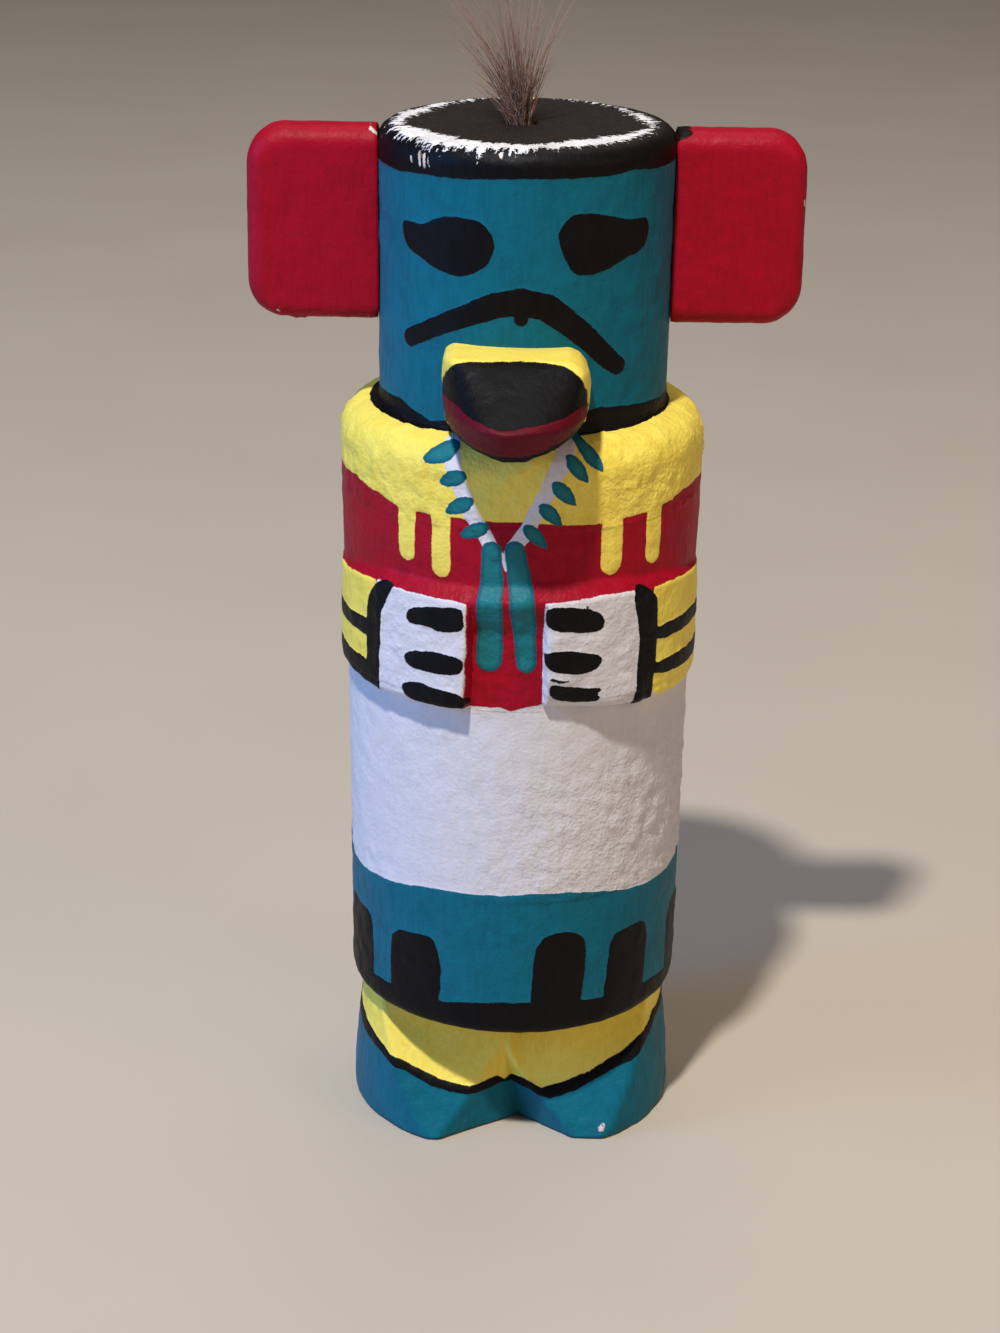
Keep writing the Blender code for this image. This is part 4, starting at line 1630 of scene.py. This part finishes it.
@dataclass
class EarSlab:
    """One thick rounded slab glued to the side of the head."""

    side: Side
    node: str
    name: str
    reach: float = 46.9
    foot: float = 146.9
    top: float = 179.5
    half_thick: float = 4.5
    corner: float = 6.5
    edge: float = 3.0
    mesh_step: float = 0.5
    chips: tuple[Shape, ...] = ()
    smears: tuple[Shape, ...] = ()
    rough_foot: float = 0.0
    rough_rise: float = 4.0
    rough: float = 0.7
    inner: float = 25.0
    chip_back: float = 1.0
    streak: Place = (1.4, 1.0, 0.16)
    seed: float = 7.0
    coats: tuple[Coat, ...] = (Coat.RED, Coat.BLACK, Coat.CHIP)

    def skin(self) -> tuple[np.ndarray, Faces]:
        """A gridded box, its inner face first at X zero.

        Returns:
            The points as shares of the box from 0 to 1, and the faces.
        """
        counts = (
            round((self.reach - self.inner) / self.mesh_step),
            round(2 * self.half_thick / self.mesh_step),
            round((self.top - self.foot) / self.mesh_step),
        )
        index: dict[tuple[int, int, int], int] = {}
        faces: Faces = []
        for axis in range(3):
            first, second = [other for other in range(3) if other != axis]
            for end in (0, counts[axis]):
                for i in range(counts[first]):
                    for j in range(counts[second]):
                        corners = []
                        for step_i, step_j in ((0, 0), (1, 0), (1, 1), (0, 1)):
                            cell = [0, 0, 0]
                            cell[axis] = end
                            cell[first] = i + step_i
                            cell[second] = j + step_j
                            corners.append(index.setdefault(tuple(cell), len(index)))
                        if (end == 0) == (axis != 1):
                            corners.reverse()
                        faces.append(tuple(corners))
        points = np.array(list(index), float) / np.array(counts, float)
        return points, faces

    def build(self) -> bpy.types.Object:
        """Round the slab's corners and edges, fit it to the head and store its coats.

        Returns:
            The ear's object.
        """
        shares, faces = self.skin()
        x = self.inner + shares[:, 0] * (self.reach - self.inner)
        y = (shares[:, 1] - 0.5) * 2 * self.half_thick
        half_tall = (self.top - self.foot) / 2
        z = (shares[:, 2] - 0.5) * 2 * half_tall
        out_x = np.maximum(x - (self.reach - self.corner), 0.0)
        out_z = np.maximum(np.abs(z) - (half_tall - self.corner), 0.0)
        length = np.hypot(out_x, out_z)
        safe = np.maximum(length, 1e-9)
        out = length * np.maximum(out_x, out_z) / safe
        flat = self.corner - self.edge
        beyond = np.maximum(out - flat, 0.0)
        deep = np.maximum(np.abs(y) - (self.half_thick - self.edge), 0.0)
        round_length = np.maximum(np.hypot(beyond, deep), 1e-9)
        pulled = np.maximum(beyond, deep) / round_length
        out = np.minimum(out, flat) + beyond * pulled
        y = np.sign(y) * (np.minimum(np.abs(y), self.half_thick - self.edge) + deep * pulled)
        x = np.minimum(x, self.reach - self.corner) + out * out_x / safe
        z = np.sign(z) * (np.minimum(np.abs(z), half_tall - self.corner) + out * out_z / safe)
        height = z + (self.top + self.foot) / 2
        seat = np.sqrt(seat_radius(height) ** 2 - y**2)
        x = seat + (x - self.inner) * (self.reach - seat) / (self.reach - self.inner)
        side = self.side.value
        points = np.stack([x * side, y, height], -1)
        if side < 0:
            faces = [tuple(reversed(face)) for face in faces]
        obj = make_mesh(self.name, points, faces)
        depths = {coat: np.full(x.shape, -FAR) for coat in self.coats}
        depths[Coat.RED] = np.full(x.shape, FAR)
        for coat, shapes in ((Coat.CHIP, self.chips), (Coat.BLACK, self.smears)):
            for shape in shapes:
                depths[coat] = np.maximum(depths[coat], shape.depth(x * side, height))
        depths[Coat.CHIP] = np.where(y > self.chip_back, -FAR, depths[Coat.CHIP])
        for coat, depth in depths.items():
            store_values(obj, coat.value, depth)
        low = smooth(-height, -(self.foot + self.rough_rise), -self.foot)
        store_values(obj, "rough_ground", self.rough + self.rough_foot * low)
        store_values(obj, "loose", smooth(x - seat, 0.0, 1.0))
        return obj

    def make(self) -> bpy.types.Object:
        """Build, carve and dress the ear and tie it to the frame.

        Returns:
            The ear's object.
        """
        obj = self.build()
        finish = BrushedPaint(self.name + "_paint", self.coats, streak=self.streak).material()
        seed = self.seed + self.side.value
        CarvedGround(self.name + " ground", self.coats, seed=seed).dress(obj, finish)
        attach(obj, BODY)
        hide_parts(self.node)
        return obj


@dataclass
class Snout:
    """The wedge glued to the face: a flat top, a long slope to the lip, and a chin cut under.

    Every level cut through it is a ship's bow in plan. Its sides and hulls are widths at heights.
    Its marks are drawn on an upright sheet, sheet_y in front of the axis, and carried back to the
    wood along straight lines from the eye.
    """

    middle: Point = (-1.3, -27.0)
    foot: float = 133.5
    chin: float = 134.7
    tip: float = 139.7
    top: float = 148.0
    tip_reach: float = 46.1
    chin_reach: float = 42.0
    foot_reach: float = 40.6
    brow_reach: float = 34.2
    brow_squeeze: float = 0.32
    top_edge: float = 0.9
    crisp: float = 0.6
    slope_rounding: float = 4.2
    glue: float = 0.4
    column_count: int = 232
    tip_band: float = 0.9
    chin_band: float = 0.7
    cap_shares: tuple[float, ...] = (0.1, 0.3, 0.5, 0.7, 0.85, 0.94)
    rounding_rise: float = 4.0
    front_blend: Point = (-0.2, 0.35)
    side_rounding: float = 0.5
    least_share: float = 0.02
    shoulder_axis: Point = (25.8, 127.4)
    shoulder_rounding: float = 5.6
    sheet_y: float = -34.0
    bare_foot: float = 1.6
    lip_overlap: float = 0.1
    rough: float = 0.6
    loose_from: Point = (24.5, 27.0)
    coats: tuple[Coat, ...] = (Coat.BLACK, Coat.YELLOW, Coat.SHADED_LIP)
    bow: Patch = Patch(
        (
            (-13.5, -14.0), (-13.5, -26.5), (-12.6, -32.0), (-11.2, -37.2), (-9.0, -41.8),
            (-6.4, -45.2), (-3.6, -46.9), (-0.6, -46.6), (3.0, -45.2), (6.4, -42.6), (9.0, -38.4),
            (10.5, -32.6), (10.9, -25.6), (10.9, -14.0),
        ),
        soften=2,
    )
    right_side: Line = (
        (133.5, -11.6), (136.0, -12.9), (145.0, -13.5), (147.0, -12.9), (148.0, -12.0),
    )
    left_side: Line = (
        (133.5, 8.6), (136.0, 10.3), (143.0, 10.9), (145.6, 10.2), (147.0, 9.2), (148.0, 7.9),
    )
    right_hull: Line = (
        (133.5, -3.4), (134.2, -4.6), (134.8, -6.4), (135.7, -9.2), (136.5, -10.9), (137.9, -12.3),
        (140.5, -13.3),
    )
    left_hull: Line = (
        (133.5, 0.6), (134.3, 1.6), (134.9, 3.2), (135.8, 5.3), (137.2, 7.7), (138.7, 9.4),
        (140.3, 10.5), (143.0, 10.9),
    )
    front_face: Patch = Patch(
        (
            (-13.3, 143.9), (-12.7, 146.2), (-11.5, 147.5), (-10.1, 147.9), (-4.5, 147.9),
            (0.7, 148.1), (4.6, 147.9), (7.3, 147.2), (9.3, 145.1), (10.15, 142.9), (10.1, 140.5),
            (9.4, 137.6), (8.6, 134.0), (7.0, 128.0), (-9.0, 128.0), (-11.4, 134.0),
            (-12.3, 138.3), (-13.0, 141.5),
        ),
        soften=1,
    )
    lip: Patch = Patch(
        (
            (-13.7, 143.5), (-10.9, 141.0), (-8.6, 138.6), (-6.2, 137.3), (-3.75, 136.3),
            (-1.3, 136.8), (1.6, 137.3), (4.7, 138.1), (7.4, 139.3), (10.8, 142.3), (10.5, 139.2),
            (8.8, 137.7), (6.8, 135.6), (4.2, 133.9), (1.6, 132.8), (-1.2, 132.2), (-4.4, 132.5),
            (-7.7, 133.7), (-9.95, 135.3), (-11.9, 137.65), (-13.3, 139.8),
        ),
        soften=1,
    )

    def levels(self) -> list[Point]:
        """The level cuts from top to foot.

        Returns:
            For each cut its height, and how far its edge is drawn in.
        """
        cuts = []
        for angle in np.linspace(90.0, 15.0, 5):
            turned = math.radians(angle)
            height = self.top - self.top_edge * (1 - math.sin(turned))
            cuts.append((height, self.top_edge * (1 - math.cos(turned))))
        # Where each stretch begins and ends, and about how far apart its cuts are.
        spans = (
            (self.top - self.top_edge, self.tip + self.tip_band, 0.28),
            (self.tip + self.tip_band, self.tip - self.tip_band, 0.12),
            (self.tip - self.tip_band, self.chin + self.chin_band, 0.30),
            (self.chin + self.chin_band, self.foot, 0.12),
        )
        for start, stop, step in spans:
            cuts += [(height, 0.0) for height in spaced(start, stop, step)]
        return cuts

    def reach_at(self, height: float) -> tuple[float, float]:
        """How far forward the wedge reaches at a height.

        Args:
            height: The height of the cut.

        Returns:
            Where the long slope ends the cut, and how far forward the bow's tip stands.
        """
        tip = (self.tip, self.tip_reach)
        chin = (self.chin, self.chin_reach)
        slope = straight(height, tip, (self.top, self.brow_reach))
        under = straight(height, tip, chin)
        below = straight(height, chin, (self.foot, self.foot_reach))
        lower = soft_least(soft_least(under, below, self.crisp), self.tip_reach, self.crisp)
        above = np.clip((height - self.tip) / (self.top - self.tip), 0.0, 1.0)
        drawn_back = self.brow_squeeze * above * (self.tip_reach + self.middle[1])
        return slope, float(lower - drawn_back)

    def cut(self, height: float, drawn_in: float) -> np.ndarray:
        """One level cut's outline.

        Args:
            height: The height of the cut.
            drawn_in: How far its edge is drawn in.

        Returns:
            One row of X and Y for each column.
        """
        middle_x, middle_y = self.middle
        turn = np.arange(self.column_count) * math.tau / self.column_count - math.pi
        aside = np.sin(turn)
        ahead = np.cos(turn)
        slope, bow_tip = self.reach_at(height)
        squeeze = (bow_tip + middle_y) / (self.tip_reach + middle_y)
        drawn = np.array(self.bow.drawn())
        angles = np.arctan2(drawn[:, 0] - middle_x, middle_y - drawn[:, 1])
        lengths = np.hypot(drawn[:, 0] - middle_x, middle_y - drawn[:, 1])
        order = np.argsort(angles)
        tall = np.where(ahead > 0, ahead / squeeze, ahead)
        reach = np.interp(np.arctan2(aside, tall), angles[order], lengths[order], period=math.tau)
        reach = reach / np.hypot(aside, tall)
        limit = (slope + middle_y) / np.maximum(ahead, self.least_share)
        limit = np.where(ahead > self.least_share, limit, FAR)
        above = smooth(height, self.tip, self.tip + self.rounding_rise)
        reach = soft_least(reach, limit, self.crisp + above * (self.slope_rounding - self.crisp))
        in_front = smooth(ahead, *self.front_blend)
        for side, hull in ((self.right_side, self.right_hull), (self.left_side, self.left_hull)):
            wide = along(side, height)
            narrow = np.minimum(abs(wide), abs(along(hull, height)))
            side_x = wide + (np.sign(wide) * narrow - wide) * in_front
            outward = (side_x - middle_x) * aside > self.least_share
            limit = np.where(outward, (side_x - middle_x) / np.where(outward, aside, 1.0), FAR)
            reach = soft_least(reach, limit, self.side_rounding)
        reach = reach - drawn_in
        seat = seat_radius(height) - self.glue
        toward = middle_x * aside - middle_y * ahead
        inside = toward * toward - (middle_x**2 + middle_y**2 - seat * seat)
        hit = np.where((inside > 0) & (toward < 0), -toward - np.sqrt(np.maximum(inside, 0.0)), FAR)
        reach = np.minimum(reach, hit)
        return np.stack([middle_x + reach * aside, middle_y - reach * ahead], -1)

    def build(self) -> bpy.types.Object:
        """Make the snout's closed skin and store its coats.

        Returns:
            The snout's object.
        """
        cuts = [(height, self.cut(height, drawn_in)) for height, drawn_in in self.levels()]
        centre = np.array(self.middle)
        top = [(self.top, centre + (cuts[0][1] - centre) * share) for share in self.cap_shares]
        under = [(self.foot, centre + (cuts[-1][1] - centre) * share) for share in self.cap_shares[::-1]]
        rings = top + cuts + under
        points = [np.column_stack([flat, np.full(len(flat), height)]) for height, flat in rings]
        ends = np.array([[*self.middle, self.top], [*self.middle, self.foot]])
        joined = np.concatenate([*points, ends])
        self.lift_off_shoulder(joined)
        obj = make_mesh("painted_snout", joined, ring_faces(len(rings), self.column_count))
        self.store_coats(obj, joined)
        return obj

    def lift_off_shoulder(self, points: np.ndarray) -> None:
        """Keep the underside clear of the shoulders.

        Args:
            points: The snout's points, which change here.
        """
        away = np.hypot(points[:, 0], points[:, 1])
        axis, level = self.shoulder_axis
        beyond = np.maximum(away - axis, 0.0)
        drop = np.sqrt(np.maximum(self.shoulder_rounding**2 - beyond**2, 0.0))
        ledge = np.where(away < axis + self.shoulder_rounding, level + drop, 0.0)
        points[:, 2] = np.maximum(points[:, 2], ledge)

    def store_coats(self, obj: bpy.types.Object, points: np.ndarray) -> None:
        """Work out where the black, the yellow and the lip's red lie. The lip's red is darkened as painted
        shade.

        Args:
            obj: The snout's object.
            points: Its points.
        """
        eye = np.array(EYE)
        nearer = (self.sheet_y - eye[1]) / (points[:, 1] - eye[1])
        seen = eye + (points - eye) * nearer[:, None]
        x = seen[:, 0]
        z = seen[:, 2]
        painted = self.front_face.depth(x, z)
        yellow = np.minimum(-painted, points[:, 2] - self.foot - self.bare_foot)
        # The lip takes the darker lip paint, which carries painted shade.
        red = np.minimum(self.lip.depth(x, z), painted + self.lip_overlap)
        store_values(obj, Coat.BLACK.value, np.full(x.shape, FAR))
        store_values(obj, Coat.YELLOW.value, yellow)
        store_values(obj, Coat.SHADED_LIP.value, red)
        store_values(obj, "rough_ground", np.full(x.shape, self.rough))
        store_values(obj, "loose", smooth(-points[:, 1], *self.loose_from))

    def make(self) -> bpy.types.Object:
        """Build, carve and dress the snout and tie it to the frame.

        Returns:
            The snout's object.
        """
        obj = self.build()
        finish = BrushedPaint("snout_paint_finish", self.coats, streak=(1.0, 1.0, 0.8)).material()
        ground = CarvedGround("Snout ground", self.coats, lump_height=0.2, seed=11.0, edge_wander=0.75)
        ground.dress(obj, finish)
        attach(obj, BODY)
        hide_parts("snout")
        return obj


@dataclass
class HairTuft:
    """A tuft of animal hair standing in the socket, each hair a thin tapering strand."""

    root: Place = (-1.0, 0.0, 176.0)
    strands: int = 240
    locks: int = 13
    steps: int = 14
    bundle: float = 2.1
    shortest: float = 12.0
    longest: float = 30.0
    spread: float = 13.5
    thickness: float = 0.078
    seed: int = 5
    lock_seed: int = 20
    section_sides: int = 4
    tapering: Point = (0.3, 1.0)
    taper: Point = (1.0, 0.35)
    own_turn: float = 0.45
    own_lean: float = 0.4
    lock_lean: float = 0.62
    lean_power: float = 2.0
    bend_power: float = 1.6
    usual_length: float = 22.0
    pinched: Point = (0.0, 0.3)
    pinch: Point = (1.0, 0.72)
    lock_curl: float = 2.4
    curl_power: float = 2.0
    drift: float = 1.8
    droop: float = 5.0

    def scatter(self, bench: GeometryBench) -> Socket:
        """Put down the hairs' roots, with the chances of each hair and of each lock.

        Args:
            bench: The tree being made.

        Returns:
            The roots.
        """
        given = bench.given.outputs
        geometry = bench.output("GeometryNodePoints", {"Count": given["Strand Count"]})
        index = bench.output("GeometryNodeInputIndex", {})
        lock = bench.reckon("MODULO", index, float(self.locks))
        whole_turn = (0.0, math.tau)
        share = (0.0, 1.0)
        either_way = (-1.0, 1.0)
        chances = (
            ("root_turn", whole_turn, 0, index),
            ("root_out", share, 1, index),
            ("hair_length", (given["Shortest"], given["Longest"]), 2, index),
            ("lean_turn", (-0.9, 0.9), 3, index),
            ("lean_out", share, 4, index),
            ("hair_tone", share, 5, index),
            ("curl", either_way, 6, index),
            ("lock_turn", whole_turn, self.lock_seed, lock),
            ("lock_out", share, self.lock_seed + 1, lock),
            ("lock_curl", either_way, self.lock_seed + 2, lock),
        )
        for name, (low, high), salt, who in chances:
            chance = bench.add("FunctionNodeRandomValue", data_type="FLOAT")
            seed = bench.plus(given["Seed"], float(salt))
            for key, value in (("ID", who), (2, low), (3, high), ("Seed", seed)):
                bench.feed(chance.inputs[key], value)
            geometry = bench.store(geometry, name, chance.outputs[1])
        return geometry

    def tree(self, material: bpy.types.Material) -> GeometryBench:
        """Lay out the tree that grows the hairs.

        Args:
            material: The hair's finish.

        Returns:
            The tree, ready to run.
        """
        bench = GeometryBench("Hair strands", self.sizes())
        roots = self.scatter(bench)
        line = bench.output("GeometryNodeCurvePrimitiveLine", {"End": (0.0, 0.0, MM)})
        line = bench.output("GeometryNodeResampleCurve", {"Curve": line, "Count": self.steps})
        copies = bench.output("GeometryNodeInstanceOnPoints", {"Points": roots, "Instance": line})
        curves = bench.output("GeometryNodeRealizeInstances", {"Geometry": copies})
        way = bench.add("GeometryNodeSplineParameter").outputs["Factor"]
        curves = bench.store(curves, "hair_way", way)
        curves = bench.move(curves, "Position", self.strand_place(bench, way))
        taper = bench.times(bench.step(way, *self.tapering, *self.taper), MM)
        radius = bench.times(bench.given.outputs["Thickness"], taper)
        curves = bench.output("GeometryNodeSetCurveRadius", {"Curve": curves, "Radius": radius})
        circle = {"Resolution": self.section_sides, "Radius": 1.0}
        feeds = {
            "Curve": curves,
            "Profile Curve": bench.output("GeometryNodeCurvePrimitiveCircle", circle),
            "Scale": bench.output("GeometryNodeInputRadius", {}),
            "Fill Caps": True,
        }
        skin = bench.output("GeometryNodeCurveToMesh", feeds)
        bench.end(skin, material)
        return bench

    def sizes(self) -> dict[str, float]:
        """Values for the tree's inputs.

        Returns:
            Each input's name and value.
        """
        return {
            "Strand Count": self.strands,
            "Bundle": self.bundle,
            "Shortest": self.shortest,
            "Longest": self.longest,
            "Spread": self.spread,
            "Thickness": self.thickness,
            "Seed": self.seed,
        }

    def strand_place(self, bench: GeometryBench, way: Socket) -> Socket:
        """Where each point of each hair goes, in metres.

        Args:
            bench: The tree being made.
            way: How far along its hair a point lies.

        Returns:
            The place.
        """
        given = bench.given.outputs
        length = bench.named("hair_length")
        own_turn = bench.times(bench.named("lean_turn"), self.own_turn)
        lean_turn = bench.plus(bench.named("lock_turn"), own_turn)
        own_lean = bench.reckon("POWER", bench.named("lean_out"), self.lean_power)
        own_lean = bench.times(own_lean, self.own_lean)
        lean = bench.plus(own_lean, bench.times(bench.named("lock_out"), self.lock_lean))
        bend = bench.reckon("POWER", way, self.bend_power)
        leaning = bench.times(lean, bend)
        reach = bench.times(leaning, given["Spread"])
        reach = bench.times(reach, bench.reckon("DIVIDE", length, self.usual_length))
        root_turn = bench.named("root_turn")
        foot = bench.times(bench.reckon("SQRT", bench.named("root_out")), given["Bundle"])
        foot = bench.times(foot, bench.step(way, *self.pinched, *self.pinch))
        curl = bench.plus(bench.named("curl"), bench.times(bench.named("lock_curl"), self.lock_curl))
        sway = bench.times(curl, bench.reckon("POWER", way, self.curl_power))
        sway = bench.less(sway, bench.times(bend, self.drift))
        x = bench.plus(bench.times(bench.reckon("COSINE", root_turn), foot), sway)
        x = bench.plus(x, bench.times(bench.reckon("COSINE", lean_turn), reach))
        y = bench.times(bench.reckon("SINE", root_turn), foot)
        y = bench.plus(y, bench.times(bench.reckon("SINE", lean_turn), reach))
        z = bench.less(bench.times(way, length), bench.times(leaning, self.droop))
        joined = bench.output("ShaderNodeCombineXYZ", {"X": x, "Y": y, "Z": z})
        return bench.vector("SCALE", bench.vector("ADD", joined, self.root), MM)

    def make(self) -> bpy.types.Object:
        """Grow the hairs and tie them to the frame.

        Returns:
            The hairs' object.
        """
        mesh = bpy.data.meshes.new("hair_strands")
        obj = bpy.data.objects.new("hair_strands", mesh)
        bpy.context.scene.collection.objects.link(obj)
        self.tree(HairFinish().material()).apply(obj, self.sizes())
        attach(obj, BODY)
        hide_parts("hair_tuft")
        return obj


DOLL_MIDDLE: Place = (0.0, 0.0, 0.1)


@dataclass(frozen=True)
class SoftLight:
    """One soft round light that looks at the doll's middle, its sizes in metres."""

    name: str
    place: Place
    size: float
    power: float
    colour: Place

    def hang(self) -> None:
        """Hang the light and turn it to the doll."""
        lamp = bpy.data.lights.new(self.name, "AREA")
        lamp.shape = "DISK"
        lamp.size = self.size
        lamp.energy = self.power
        lamp.color = self.colour
        obj = bpy.data.objects.new(self.name, lamp)
        obj.location = self.place
        aim = Vector(DOLL_MIDDLE) - Vector(self.place)
        obj.rotation_euler = aim.to_track_quat("-Z", "Y").to_euler()
        bpy.context.scene.collection.objects.link(obj)


@dataclass
class Studio:
    """The floor, the lights and the camera."""

    floor_radius: float = 6000.0
    floor_sides: int = 64
    camera_place: Place = EYE
    pitch: float = 21.18
    roll: float = 0.9
    lens: float = 80.07
    film_width: float = 36.0
    clip: Point = (0.01, 50.0)
    lights: tuple[SoftLight, ...] = (
        SoftLight("key_light", (-0.268, -0.706, 1.50), 0.09, 26.5, (1.0, 0.99, 0.97)),
        SoftLight("left_light", (-1.2, -0.38, 0.5), 0.7, 12.3, (0.06, 0.35, 1.0)),
        SoftLight("right_light", (0.9, -0.6, 0.7), 0.7, 2.8, (1.0, 0.82, 0.66)),
        SoftLight("top_light", (0.1, 0.5, 1.4), 0.9, 4.5, (1.0, 0.94, 0.86)),
    )
    sky: Colour = (1.0, 0.84, 0.76, 1.0)
    sky_strength: float = 0.08

    def lay_floor(self) -> None:
        """Lay a wide pale disc for the doll to stand on."""
        angles = np.arange(self.floor_sides) * math.tau / self.floor_sides
        rim = np.stack([np.cos(angles), np.sin(angles), np.zeros(self.floor_sides)], -1)
        points = np.concatenate([rim * self.floor_radius, np.zeros((1, 3))])
        faces = [(self.floor_sides, i, (i + 1) % self.floor_sides) for i in range(self.floor_sides)]
        floor = make_mesh("pale_floor", points, faces)
        floor.data.materials.append(FloorFinish().material())

    def stand_camera(self) -> None:
        """Stand the camera where the photograph was taken from."""
        lens = bpy.data.cameras.new("camera")
        lens.lens = self.lens
        lens.sensor_width = self.film_width
        lens.clip_start, lens.clip_end = self.clip
        pitch = math.radians(self.pitch)
        roll = math.radians(self.roll)
        right = Vector((1.0, 0.0, 0.0))
        up = Vector((0.0, math.sin(pitch), math.cos(pitch)))
        forward = Vector((0.0, math.cos(pitch), -math.sin(pitch)))
        turned_right = right * math.cos(roll) + up * math.sin(roll)
        turned_up = up * math.cos(roll) - right * math.sin(roll)
        turned = Matrix((turned_right, turned_up, -forward)).transposed().to_4x4()
        camera = bpy.data.objects.new("camera", lens)
        camera.matrix_world = Matrix.Translation(Vector(self.camera_place) * MM) @ turned
        bpy.context.scene.collection.objects.link(camera)
        bpy.context.scene.camera = camera

    def make(self) -> None:
        """Lay the floor, hang the lights, light the air and stand the camera."""
        self.lay_floor()
        self.stand_camera()
        for light in self.lights:
            light.hang()
        world = bpy.data.worlds.new("studio_air")
        world.use_nodes = True
        background = world.node_tree.nodes["Background"]
        background.inputs["Color"].default_value = self.sky
        background.inputs["Strength"].default_value = self.sky_strength
        bpy.context.scene.world = world
        bpy.context.scene.view_settings.view_transform = "Standard"


EARS = (
    EarSlab(
        Side.RIGHT,
        "ear_right",
        "painted_ear_right",
        rough_foot=0.8,
        chips=(
            Stroke(((-25.1, 178.6, 0.3), (-26.3, 179.3, 0.22))),
            Stroke(((-33.0, 147.0, 0.3), (-34.2, 147.1, 0.25))),
            Stroke(((-41.4, 148.2, 0.25), (-42.0, 148.6, 0.3))),
        ),
    ),
    EarSlab(
        Side.LEFT,
        "ear_left",
        "painted_ear_left",
        chips=(Stroke(((46.4, 168.6, 0.14), (46.5, 167.4, 0.16))),),
        smears=(Stroke(((25.0, 178.9, 1.6), (27.2, 179.2, 0.7))),),
    ),
)


def main() -> None:
    """Build the doll piece by piece and its studio."""
    logging.basicConfig(level=logging.INFO, format="%(name)s: %(message)s")
    Studio().make()
    pieces = [CarvedFigure().make(), *(ear.make() for ear in EARS), Snout().make(), HairTuft().make()]
    for piece in pieces:
        log.info("%s: %d faces", piece.name, len(piece.data.polygons))


if __name__ == "__main__":
    main()
